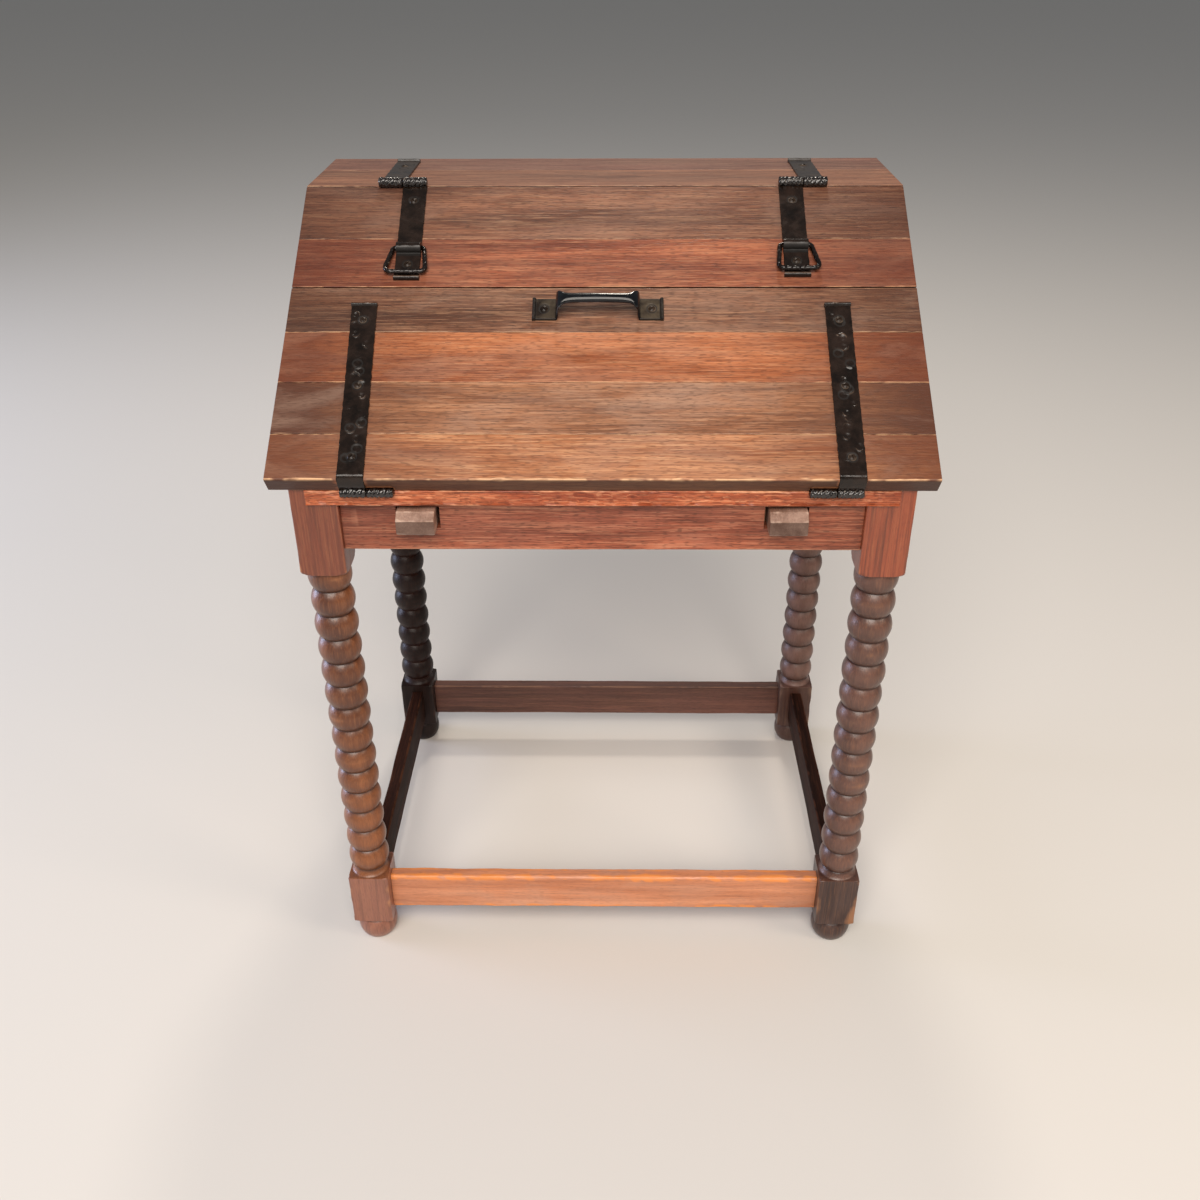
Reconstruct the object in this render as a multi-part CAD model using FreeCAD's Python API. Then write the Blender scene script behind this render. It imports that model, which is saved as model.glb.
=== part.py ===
import FreeCAD, Part
import math
import os

# A slant-front writing desk. The stand is four legs turned from square stock, tied by aprons and
# stretchers. It carries a low case whose sloping front is a hinged fall, with a hinged lid above
# it. Forged iron straps, rings and a bow handle dress the boards. Two lopers slide out of the
# front apron to carry the fall when it is open.
#
# Frame: +X to the right, +Y to the back, +Z up, in millimetres. The origin is on the floor,
# halfway across the width and the depth. "s" runs up the sloping boards from the lip, and "n"
# stands square out of their outer face.

V = FreeCAD.Vector

# ---------------------------------------------------------------- driving dimensions: stand
leg_spacing_x = 690.0        # between leg axes, across
leg_spacing_y = 489.0        # between leg axes, front to back
leg_square = 58.0            # stock the legs are turned from
leg_arris = 2.0              # rounding of the square stock's long edges
leg_height = 738.3           # floor to the underside of the bed boards
foot_height = 41.6
foot_radius = 28.8
foot_base_radius = 21.0
foot_neck_radius = 26.5
lower_block_height = 86.8
lower_shoulder_radius = 6.0  # turned shoulders of the lower block
collar_height = 9.6
upper_block_height = 98.8
upper_shoulder_radius = 10.0
bobbin_pitch = 36.3
bobbin_radius = 28.3
groove_radius = 22.2

apron_height = 65.3
apron_thickness = 20.0
apron_setback = 7.5          # behind the outer faces of the legs
stretcher_height = 60.5
stretcher_thickness = 20.0
stretcher_lift = 54.5        # floor to the underside of the stretchers
tenon_thickness = 9.0
tenon_length = 18.0
tenon_shoulder = 8.0         # cut back from each edge of the rail
tenon_clearance = 0.1

# ---------------------------------------------------------------- driving dimensions: case
board_thickness = 20.0       # bed, side, back and top boards
bed_nose = 3.6               # bed boards stand this far ahead of the front legs
case_height = 273.7          # top of the bed boards to the top of the desk
slope_degrees = 34.0
leaf_thickness = 24.0        # boards of the fall and the lid
side_overhang = 21.5         # fall, lid and top beyond the legs
fall_length = 282.3
fall_plank_widths = (64.0, 74.0, 75.5)
lid_seam_drop = 5.65         # seam of the lid below its middle
lid_fall_gap = 1.5
lid_undercut = 3.5           # clears the fall as the lid swings up
lid_top_gap = 1.0
rest_gap = 0.3               # closed boards above what they rest on
top_back_board_width = 85.2  # the front one takes what is left
back_lower_board_height = 137.0
bed_board_count = 3
top_rail_height = 40.0
tongue_thickness = 6.0
tongue_depth = 6.0
tongue_clearance = 0.15
plank_arris = 1.2

# ---------------------------------------------------------------- driving dimensions: lopers
loper_width = 46.0
loper_height = 28.2
loper_length = 330.0
loper_offset = 223.5         # centre line from the middle of the desk
loper_drop = 2.6             # below the open fall
loper_reach = 14.5           # tip ahead of the front legs when the desk is closed
loper_bevel_depth = 10.0     # bevel along the tip's top edge, measured back from the tip
loper_bevel_drop = 8.8       # and down from the top
loper_clearance = 0.5
slot_inner_slack = 4.0       # the apron's slots are cut wider than the lopers need
slot_outer_slack = 2.0
loper_rounding = 2.0
loper_travel_out = 210.0
loper_travel_in = 20.0
runner_wall = 12.0
stop_radius = 4.0
stop_depth = 14.0            # sunk into the loper
stop_fit = 0.05
stop_headroom = 0.5          # under the bed boards

# ---------------------------------------------------------------- driving dimensions: iron
strap_width = 31.75
strap_thickness = 3.0
strap_lip = 2.5              # hammered-up end of a strap, above its face
strap_lip_length = 4.0
knuckle_gap = 0.5
pin_clearance = 0.05
recess_clearance = 0.4       # wood cut back around a knuckle
mortise_clearance = 0.2      # wood cut back around the flush leaf

lower_knuckle_radius = 6.2
lower_pin_radius = 2.5
lower_hinge_offset = 3.5     # pin ahead of the corner where fall and bed meet
lower_hinge_x = {"left": -278.0, "right": 277.0}   # middle of each knuckle pair
fall_strap_top = 256.0
fall_strap_wrap = 20.0       # square part of the strap next to the lip
strap_bend_radius = 11.0     # inside of the soft bend over the lip
bend_clearance = 0.2         # wood rounded back under the bend
bend_side_clearance = 0.3
fall_strap_lean = {"left": 5.5, "right": 0.0}      # outward, at the top end
fall_strap_screws = (30.0, 131.0, 229.5)
bed_leaf_length = 46.0
bed_leaf_screws = (12.0, 32.0)                     # behind the front edge of the bed

upper_knuckle_radius = 6.8
upper_pin_radius = 2.8
upper_hinge_forward = 1.5    # pin ahead of the crease
upper_hinge_rise = 4.6       # pin above the top boards
upper_hinge_x = {"left": -266.6, "right": 262.6}
lid_strap_margin = {"left": 10.2, "right": 15.2}   # strap end above the lower edge of the lid
ring_height = 40.8           # pin of the ring to the middle of its lower bar
ring_above_end = 50.0        # strap end to the pin of the ring
ring_bar_radius = 3.3
ring_lower_half = 26.8
ring_outward = 2.4           # lower bar pulled outward of the pin
ring_corner_radius = 7.0
ring_side_gap = 0.7
ring_float = 0.4             # under the ring's bars
eye_clearance = 1.5
lid_strap_screw_drop = 29.3  # below the crease
ring_screw_above_end = 24.4
top_leaf_margin = 30.0       # leaf end ahead of the back edge
top_leaf_screw = 72.0        # screw ahead of the back edge

handle_x = -6.2              # middle of the handle
handle_s = 246.7
handle_plate_length = 29.8
handle_span = 104.9          # between the plates
handle_rise = 25.5
handle_waist = 14.0          # width of the grip
handle_horn = 26.0           # width of its shoulders
handle_grip_thickness = 6.0

screw_head_radius = 5.2
screw_head_height = 2.4
screw_radius = 2.0
screw_length = 17.0
screw_fit = 0.05

# ---------------------------------------------------------------- places worked out from them
SIDES = {"left": -1, "right": 1}

slope = math.radians(slope_degrees)
leg_half = leg_square / 2
leg_x = leg_spacing_x / 2
outer_bend_radius = strap_bend_radius + strap_thickness

# The front of the whole desk is the lip of the fall, the strap bent over it or a loper's tip.
lip_reach = bed_nose + (leaf_thickness - plank_arris) * math.sin(slope)
bend_reach = (bed_nose + outer_bend_radius - strap_bend_radius * math.cos(slope)
              + (leaf_thickness - strap_bend_radius) * math.sin(slope))
front_reach = max(lip_reach, bend_reach, loper_reach)
overall_depth = front_reach + leg_square + leg_spacing_y
front_leg_y = -overall_depth / 2 + front_reach + leg_half
back_leg_y = front_leg_y + leg_spacing_y
front_y = front_leg_y - leg_half
back_y = back_leg_y + leg_half

bed_front_y = front_y - bed_nose
bed_top_z = leg_height + board_thickness
top_z = bed_top_z + case_height
top_under_z = top_z - board_thickness
case_outer_x = leg_x + leg_half
case_inner_x = case_outer_x - board_thickness
panel_half = case_outer_x + side_overhang
back_inner_y = back_y - board_thickness

inner_corner_y = bed_front_y
inner_corner_z = bed_top_z + rest_gap


def slope_point(s, n, x=0.0):
    """The point s up the slope from the lip and n out of its outer face."""
    y = inner_corner_y + s * math.cos(slope) - (n + leaf_thickness) * math.sin(slope)
    z = inner_corner_z + s * math.sin(slope) + (n + leaf_thickness) * math.cos(slope)
    return V(x, y, z)


lip = slope_point(0, 0)
crease_s = (top_z - lip.z) / math.sin(slope)
crease_y = slope_point(crease_s, 0).y
lid_low_s = fall_length + lid_fall_gap
lid_high_s = crease_s - lid_top_gap / math.cos(slope)
lid_seam_s = (lid_low_s + lid_high_s) / 2 - lid_seam_drop
lid_strap_end = {name: lid_low_s + margin for name, margin in lid_strap_margin.items()}

lower_pin = slope_point(-lower_hinge_offset, lower_hinge_offset * math.tan(slope / 2) - leaf_thickness)
upper_pin = V(0, crease_y - upper_hinge_forward, top_z + upper_hinge_rise)
upper_pin_s = crease_s + upper_hinge_rise * math.sin(slope) - upper_hinge_forward * math.cos(slope)

# An open fall lies level, so its underside is one board below the inner face it turned over.
open_fall_under_z = (2 * lower_pin.z - (inner_corner_z - rest_gap)
                     + 2 * (bed_top_z - lower_pin.z) - leaf_thickness)
loper_top_z = open_fall_under_z - loper_drop
loper_bottom_z = loper_top_z - loper_height
loper_tip_y = front_y - loper_reach
apron_back_y = front_y + apron_setback + apron_thickness

ring_pin_n = ring_bar_radius + ring_float
ring_upper_half = strap_width / 2 + ring_side_gap + ring_bar_radius
ring_low_n = strap_thickness + ring_bar_radius + ring_float


# ---------------------------------------------------------------- small helpers
def box(x0, x1, y0, y1, z0, z1):
    """A box between two corners, given as ranges that may run either way."""
    low = V(min(x0, x1), min(y0, y1), min(z0, z1))
    return Part.makeBox(abs(x1 - x0), abs(y1 - y0), abs(z1 - z0), low)


def prism(points, push):
    """The solid swept when a flat outline of points moves along push."""
    return Part.Face(Part.makePolygon(points + points[:1])).extrude(push)


def board_yz(outline, x0, x1):
    """A board whose (y, z) outline runs from x0 to x1."""
    return prism([V(x0, y, z) for y, z in outline], V(x1 - x0, 0, 0))


def board_sn(outline, x0, x1):
    """A board of the slope, whose (s, n) outline runs from x0 to x1."""
    return prism([slope_point(s, n, x0) for s, n in outline], V(x1 - x0, 0, 0))


def slab(outline, n0, n1):
    """A plate lying on the slope, whose (x, s) outline stands from n0 to n1."""
    rise = slope_point(0, n1) - slope_point(0, n0)
    return prism([slope_point(s, n0, x) for x, s in outline], rise)


def rod(x0, x1, centre, radius):
    """A round bar along X between x0 and x1."""
    start = V(min(x0, x1), centre.y, centre.z)
    return Part.makeCylinder(radius, abs(x1 - x0), start, V(1, 0, 0))


def fuse(shapes):
    """One solid from several that overlap or touch."""
    return shapes[0].multiFuse(shapes[1:]).removeSplitter()


def cut(shape, tools):
    """The shape with every tool taken out of it."""
    return shape.cut(Part.makeCompound(tools)) if tools else shape


def revolve(edges):
    """The solid turned about Z from a closed chain of edges in the XZ plane."""
    return Part.Face(Part.Wire(edges)).revolve(V(0, 0, 0), V(0, 0, 1), 360)


def line(p, q):
    return Part.LineSegment(V(p[0], 0, p[1]), V(q[0], 0, q[1])).toShape()


def arc(p, via, q):
    return Part.Arc(V(p[0], 0, p[1]), V(via[0], 0, via[1]), V(q[0], 0, q[1])).toShape()


NODES = {}


def keep(name, solid):
    """Put a finished piece, or a group of equal ones, under its name."""
    NODES[name] = solid


# ---------------------------------------------------------------- legs
def bobbin_arc_radius():
    rise = bobbin_radius - groove_radius
    return ((bobbin_pitch / 2) ** 2 + rise ** 2) / (2 * rise)


def bobbin_profile(height):
    """Radius of a bobbin at a height above the groove under it."""
    arc_radius = bobbin_arc_radius()
    off = height - bobbin_pitch / 2
    return bobbin_radius - arc_radius + math.sqrt(arc_radius ** 2 - off ** 2)


def shoulder(corner, z, radius, up, outward):
    """A turned quarter round between a block's end face and its corners."""
    inner = (corner - radius, z)
    outer = (corner, z + up * radius)
    diagonal = radius * math.sqrt(0.5)
    via = (corner - radius + diagonal, z + up * (radius - diagonal))
    return arc(inner, via, outer) if outward else arc(outer, via, inner)


def leg_turning(top):
    """What the lathe leaves, with the square blocks still untouched inside it."""
    corner = leg_half * math.sqrt(2) + 1
    block_z = foot_height
    block_top = block_z + lower_block_height
    collar_top = block_top + collar_height
    upper_z = leg_height - upper_block_height
    foot_mid = foot_height * 0.6
    edges = [line((0, 0), (foot_base_radius, 0))]
    low_via = ((foot_base_radius + foot_radius) / 2 + 2.5, foot_mid * 0.4)
    edges.append(arc((foot_base_radius, 0), low_via, (foot_radius, foot_mid)))
    high_via = (foot_radius - 0.4, (foot_mid + foot_height) / 2)
    edges.append(arc((foot_radius, foot_mid), high_via, (foot_neck_radius, foot_height)))
    low_inner = corner - lower_shoulder_radius
    edges.append(line((foot_neck_radius, block_z), (low_inner, block_z)))
    edges.append(shoulder(corner, block_z, lower_shoulder_radius, 1, True))
    block_side = (block_z + lower_shoulder_radius, block_top - lower_shoulder_radius)
    edges.append(line((corner, block_side[0]), (corner, block_side[1])))
    edges.append(shoulder(corner, block_top, lower_shoulder_radius, -1, False))
    edges.append(line((low_inner, block_top), (leg_half - 1, block_top)))
    collar_via = ((leg_half - 1 + groove_radius) / 2 - 1.5, block_top + collar_height * 0.4)
    edges.append(arc((leg_half - 1, block_top), collar_via, (groove_radius, collar_top)))
    count = math.ceil((upper_z - collar_top) / bobbin_pitch - 0.02)
    below = (groove_radius, collar_top)
    for i in range(count):
        z0 = collar_top + i * bobbin_pitch
        z1 = upper_z if i == count - 1 else z0 + bobbin_pitch
        middle = (z1 - z0) / 2
        above = (bobbin_profile(z1 - z0), z1)
        edges.append(arc(below, (bobbin_profile(middle), z0 + middle), above))
        below = above
    upper_inner = corner - upper_shoulder_radius
    edges.append(line(below, (upper_inner, upper_z)))
    edges.append(shoulder(corner, upper_z, upper_shoulder_radius, 1, True))
    edges.append(line((corner, upper_z + upper_shoulder_radius), (corner, top)))
    edges.append(line((corner, top), (0, top)))
    edges.append(line((0, top), (0, 0)))
    return revolve(edges)


def leg(side, y, mortises):
    """A turned leg. A front leg rises outside the bed boards as a tongue; a back leg stops under."""
    top = bed_top_z if y == front_leg_y else leg_height
    bar = box(-leg_half, leg_half, -leg_half, leg_half, 0, top)
    long_edges = [e for e in bar.Edges if abs(e.tangentAt(e.FirstParameter).z) > 0.9]
    bar = bar.makeFillet(leg_arris, long_edges)
    turned = bar.common(leg_turning(top))
    turned.translate(V(side * leg_x, y, 0))
    bed = box(side * (leg_x - leg_square), side * case_inner_x, y - leg_square, y + leg_square,
              leg_height, bed_top_z + 1)
    return cut(turned, mortises + ([bed] if top > leg_height else []))


# ---------------------------------------------------------------- rails between the legs
def rail_bar(along, span, middle, half, z0, z1):
    """A bar on edge that reaches span either side of the middle of the stand."""
    if along == "x":
        return box(-span, span, middle - half, middle + half, z0, z1)
    centre_y = (front_leg_y + back_leg_y) / 2
    return box(middle - half, middle + half, centre_y - span, centre_y + span, z0, z1)


def rail(along, middle, thickness, z0, z1):
    """A rail with a tenon at each end, and the bar that cuts its mortises."""
    spacing = leg_spacing_x if along == "x" else leg_spacing_y
    span = (spacing - leg_square) / 2
    low = z0 + tenon_shoulder
    high = z1 - tenon_shoulder
    body = rail_bar(along, span, middle, thickness / 2, z0, z1)
    tenon = rail_bar(along, span + tenon_length, middle, tenon_thickness / 2, low, high)
    play = tenon_clearance
    mortise = rail_bar(along, span + tenon_length + 1, middle, tenon_thickness / 2 + play,
                       low - play, high + play)
    return fuse([body, tenon]), mortise


apron_z = leg_height - apron_height
apron_inset = leg_half - apron_setback - apron_thickness / 2
stretcher_top_z = stretcher_lift + stretcher_height
RAILS = {
    "apron_front": ("x", front_leg_y - apron_inset),
    "apron_back": ("x", back_leg_y + apron_inset),
    "apron_left": ("y", -leg_x - apron_inset),
    "apron_right": ("y", leg_x + apron_inset),
    "stretcher_front": ("x", front_leg_y),
    "stretcher_back": ("x", back_leg_y),
    "stretcher_left": ("y", -leg_x),
    "stretcher_right": ("y", leg_x),
}


def make_rails():
    """Every apron and stretcher, and the mortise bars that the legs are cut with."""
    mortises = []
    for name, (along, middle) in RAILS.items():
        if name.startswith("apron"):
            board, mortise = rail(along, middle, apron_thickness, apron_z, leg_height)
        else:
            board, mortise = rail(along, middle, stretcher_thickness, stretcher_lift, stretcher_top_z)
        if name == "apron_front":
            slots = [loper_channel(side, slot_inner_slack, slot_outer_slack) for side in SIDES.values()]
            board = cut(board, slots)
        keep(name, board)
        mortises.append(mortise)
    return mortises


# ---------------------------------------------------------------- lopers and their runners
def loper_channel(side, inner_slack=0.0, outer_slack=0.0):
    """The space that a loper slides in, with its clearance and any slack at its sides."""
    half = loper_width / 2 + loper_clearance
    middle = side * loper_offset
    inner_end_y = loper_tip_y + loper_length + loper_travel_in
    return box(middle - side * (half + inner_slack), middle + side * (half + outer_slack),
               loper_tip_y, inner_end_y, loper_bottom_z - loper_clearance, loper_top_z + loper_clearance)


def make_lopers():
    """Each loper with its stop dowel, and the trough that carries it under the bed boards."""
    stop_y = apron_back_y + loper_travel_out + stop_radius
    inner_end_y = loper_tip_y + loper_length
    profile = [(loper_tip_y, loper_bottom_z), (inner_end_y, loper_bottom_z), (inner_end_y, loper_top_z),
               (loper_tip_y + loper_bevel_depth, loper_top_z), (loper_tip_y, loper_top_z - loper_bevel_drop)]
    for name, side in SIDES.items():
        middle = side * loper_offset
        half = loper_width / 2
        bar = board_yz(profile, middle - half, middle + half)
        bar = bar.makeFillet(loper_rounding, bar.Edges)
        seat = V(middle, stop_y, loper_top_z - stop_depth)
        up = V(0, 0, 1)
        hole = Part.makeCylinder(stop_radius + stop_fit, stop_depth + 1, seat, up)
        stop_height = stop_depth + leg_height - stop_headroom - loper_top_z
        keep("loper_" + name, bar.cut(hole))
        keep("loper_stop_" + name, Part.makeCylinder(stop_radius, stop_height, seat, up))
        outer = half + loper_clearance + runner_wall
        runner_end = inner_end_y + loper_travel_in + runner_wall
        trough = box(middle - outer, middle + outer, apron_back_y, runner_end,
                     loper_bottom_z - loper_clearance - runner_wall, leg_height)
        open_top = box(middle - half - loper_clearance, middle + half + loper_clearance,
                       apron_back_y, runner_end - runner_wall, loper_top_z, leg_height)
        keep("loper_runner_" + name, cut(trough, [loper_channel(side), open_top]))


# ---------------------------------------------------------------- screws
def screw_at(x, y, z, tilt, length, countersunk=False):
    """A wood screw seated at a point, square to a face tilted back by tilt degrees, and its hole."""
    shank = screw_radius
    head = screw_head_radius
    sink = screw_head_height
    if countersunk:
        edges = [line((0, 0), (head, 0)), line((head, 0), (shank, -sink)),
                 line((shank, -sink), (shank, -length))]
    else:
        crown = (head * 0.62, sink * 0.8)
        edges = [arc((0, sink), crown, (head, 0)), line((head, 0), (shank, 0)),
                 line((shank, 0), (shank, -length))]
    top = 0 if countersunk else sink
    tip = -length - 2 * shank
    edges += [line((shank, -length), (0, tip)), line((0, tip), (0, top))]
    hole = Part.makeCylinder(shank + screw_fit, length + 3 * shank + 1, V(0, 0, tip - shank), V(0, 0, 1))
    tools = [hole]
    if countersunk:
        wide = head + screw_fit
        tools.append(Part.makeCone(shank + screw_fit, wide, sink, V(0, 0, -sink), V(0, 0, 1)))
    placed = []
    for shape in [revolve(edges)] + tools:
        shape.rotate(V(0, 0, 0), V(1, 0, 0), tilt)
        shape.translate(V(x, y, z))
        placed.append(shape)
    return placed[0], placed[1:]


def slope_screw(x, s, n, length):
    """A dome-headed screw square to the slope."""
    at = slope_point(s, n)
    return screw_at(x, at.y, at.z, slope_degrees, length)


# ---------------------------------------------------------------- where each hinge half lies
def halves(middle, side):
    """The x ranges of the inner and outer knuckles of a pair."""
    gap = knuckle_gap / 2
    inner = (middle - side * gap, middle - side * (gap + strap_width))
    outer = (middle + side * gap, middle + side * (gap + strap_width))
    return inner, outer


def hinge_recess(middle, side, pin, radius):
    """Wood taken away round a knuckle pair."""
    inner, outer = halves(middle, side)
    return rod(inner[1] - side * recess_clearance, outer[1] + side * recess_clearance, pin,
               radius + recess_clearance)


def centre_of(span):
    return (span[0] + span[1]) / 2


LOWER = {name: halves(lower_hinge_x[name], side) for name, side in SIDES.items()}
UPPER = {name: halves(upper_hinge_x[name], side) for name, side in SIDES.items()}


def lean_at(name, s):
    """How far a fall strap has moved outward at s, past its square part."""
    share = (s - fall_strap_wrap) / (fall_strap_top - fall_strap_wrap)
    return SIDES[name] * fall_strap_lean[name] * max(0.0, share)


def make_screws():
    """Every screw, grouped by what it fastens, and the holes that each group needs."""
    groups = {"fall_strap_screws": [], "lid_strap_screws": [], "top_leaf_screws": [], "bed_leaf_screws": [],
              "handle_screws": []}
    iron_and_wood = screw_length
    for name in SIDES:
        strap_x = centre_of(LOWER[name][1])
        for s in fall_strap_screws:
            groups["fall_strap_screws"].append(
                slope_screw(strap_x + lean_at(name, s), s, strap_thickness, iron_and_wood))
        lid_x = centre_of(UPPER[name][0])
        for s in (lid_strap_end[name] + ring_screw_above_end, crease_s - lid_strap_screw_drop):
            groups["lid_strap_screws"].append(slope_screw(lid_x, s, strap_thickness, iron_and_wood))
        leaf_top = top_z + strap_thickness
        groups["top_leaf_screws"].append(
            screw_at(centre_of(UPPER[name][1]), back_y - top_leaf_screw, leaf_top, 0, iron_and_wood - 2))
        for back in bed_leaf_screws:
            groups["bed_leaf_screws"].append(
                screw_at(centre_of(LOWER[name][0]), bed_front_y + back, bed_top_z, 0,
                         board_thickness - 3 * screw_radius, countersunk=True))
        plate = SIDES[name] * (handle_span + handle_plate_length) / 2
        groups["handle_screws"].append(
            slope_screw(handle_x + plate, handle_s, strap_thickness, iron_and_wood))
    holes = {}
    for group, pairs in groups.items():
        keep(group, Part.makeCompound([screw for screw, tools in pairs]))
        holes[group] = [tool for screw, tools in pairs for tool in tools]
    return holes


# ---------------------------------------------------------------- the sloping boards
def tongue_edge(at, reach, slack):
    """The four corners of a tongue or a groove on a board's edge, from the outer face inward."""
    half = tongue_thickness / 2 + slack
    middle = -leaf_thickness / 2
    return [(at, middle + half), (at + reach, middle + half),
            (at + reach, middle - half), (at, middle - half)]


def leaf_plank(low, high, groove, tongue, undercut=0.0, plumb=False):
    """A board of the fall or the lid between two heights on the slope."""
    a = plank_arris
    t = leaf_thickness
    outline = [(low + a, 0), (high - (0 if plumb else a), 0)]
    if plumb:
        outline.append((high - t * math.tan(slope), -t))
    else:
        outline.append((high, -a))
        if tongue:
            outline += tongue_edge(high, tongue_depth, 0)
        outline += [(high, a - t), (high - a, -t)]
    outline += [(low + undercut + a, -t), (low + undercut, a - t)]
    if groove:
        slack = tongue_clearance
        outline += reversed(tongue_edge(low, tongue_depth + slack, slack))
    outline.append((low, -a))
    return board_sn(outline, -panel_half, panel_half)


def bend_relief(name):
    """The corner of the lip taken off so that a strap can bend softly over it."""
    x0, x1 = LOWER[name][1]
    spare = SIDES[name] * bend_side_clearance
    r = strap_bend_radius
    corner = board_sn([(-1, -r), (-1, 1), (r, 1), (r, -r)], x0 - spare, x1 + spare)
    return corner.cut(rod(x0 - 2 * spare, x1 + 2 * spare, slope_point(r, -r), r - bend_clearance))


def make_leaves(holes):
    """The planks of the fall and of the lid, cut for their hinges and screws."""
    lower = [hinge_recess(lower_hinge_x[name], side, lower_pin, lower_knuckle_radius)
             for name, side in SIDES.items()]
    upper = [hinge_recess(upper_hinge_x[name], side, upper_pin, upper_knuckle_radius)
             for name, side in SIDES.items()]
    low = 0.0
    edges = list(fall_plank_widths) + [fall_length - sum(fall_plank_widths)]
    for i, width in enumerate(edges):
        plank = leaf_plank(low, low + width, i > 0, i < len(edges) - 1)
        tools = holes["fall_strap_screws"] + holes["handle_screws"]
        if i == 0:
            tools = tools + lower + [bend_relief(name) for name in SIDES]
        keep("fall_plank_%d" % (i + 1), cut(plank, tools))
        low += width
    seam = lid_seam_s
    tools = holes["lid_strap_screws"]
    keep("lid_plank_lower", cut(leaf_plank(lid_low_s, seam, False, True, undercut=lid_undercut), tools))
    keep("lid_plank_upper", cut(leaf_plank(seam, lid_high_s, True, False, plumb=True), tools + upper))


# ---------------------------------------------------------------- the case
def slope_under(y):
    """Height of the boards' resting line at y, just under the closed leaves."""
    return inner_corner_z + (y - inner_corner_y) * math.tan(slope) - rest_gap / math.cos(slope)


def make_case(holes):
    """Bed, sides, back, top and the rail under the top's front edge."""
    lower = [hinge_recess(lower_hinge_x[name], side, lower_pin, lower_knuckle_radius)
             for name, side in SIDES.items()]
    upper = [hinge_recess(upper_hinge_x[name], side, upper_pin, upper_knuckle_radius)
             for name, side in SIDES.items()]
    play = mortise_clearance
    leaf_beds = []
    for name, side in SIDES.items():
        inner = LOWER[name][0]
        leaf_beds.append(box(inner[0] + side * play, inner[1] - side * play, bed_front_y - 1,
                             bed_front_y + bed_leaf_length + play,
                             bed_top_z - strap_thickness, bed_top_z + 1))
    width = (back_inner_y - bed_front_y) / bed_board_count
    for i in range(bed_board_count):
        y0 = bed_front_y + i * width
        board = box(-case_inner_x, case_inner_x, y0, y0 + width, leg_height, bed_top_z)
        tools = lower + leaf_beds + holes["bed_leaf_screws"] if i == 0 else []
        keep("bed_board_%d" % (i + 1), cut(board, tools))
    step_y = front_leg_y + leg_half
    side_outline = [(front_y, bed_top_z), (step_y, bed_top_z), (step_y, leg_height), (back_y, leg_height),
                    (back_y, top_under_z), (crease_y, top_under_z), (crease_y, slope_under(crease_y)),
                    (front_y, slope_under(front_y))]
    for name, side in SIDES.items():
        keep("case_side_" + name, board_yz(side_outline, side * case_inner_x, side * case_outer_x))
    split_z = leg_height + back_lower_board_height
    keep("back_board_lower", box(-case_inner_x, case_inner_x, back_inner_y, back_y, leg_height, split_z))
    keep("back_board_upper", box(-case_inner_x, case_inner_x, back_inner_y, back_y, split_z, top_under_z))
    keep("top_rail", box(-case_inner_x, case_inner_x, crease_y, crease_y + board_thickness,
                         top_under_z - top_rail_height, top_under_z))
    seam_y = back_y - top_back_board_width
    middle = (top_z + top_under_z) / 2
    half = tongue_thickness / 2
    a = plank_arris
    front_outline = [(crease_y, top_under_z), (seam_y, top_under_z), (seam_y, middle - half),
                     (seam_y + tongue_depth, middle - half), (seam_y + tongue_depth, middle + half),
                     (seam_y, middle + half), (seam_y, top_z - a), (seam_y - a, top_z), (crease_y, top_z)]
    slack = tongue_clearance
    groove = [(seam_y, middle + half + slack), (seam_y + tongue_depth + slack, middle + half + slack),
              (seam_y + tongue_depth + slack, middle - half - slack), (seam_y, middle - half - slack)]
    back_outline = [(seam_y, top_under_z), (back_y, top_under_z), (back_y, top_z - a), (back_y - a, top_z),
                    (seam_y + a, top_z), (seam_y, top_z - a)] + groove
    tools = holes["top_leaf_screws"]
    keep("top_board_front", cut(board_yz(front_outline, -panel_half, panel_half), tools + upper))
    keep("top_board_back", cut(board_yz(back_outline, -panel_half, panel_half), tools))


# ---------------------------------------------------------------- hinges
def barrel(span, pin, radius, pin_radius):
    """A knuckle and the hole through it."""
    hole = rod(span[0] - 1, span[1] + 1, pin, pin_radius + pin_clearance) if span[0] < span[1] \
        else rod(span[1] - 1, span[0] + 1, pin, pin_radius + pin_clearance)
    return rod(span[0], span[1], pin, radius), hole


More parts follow.
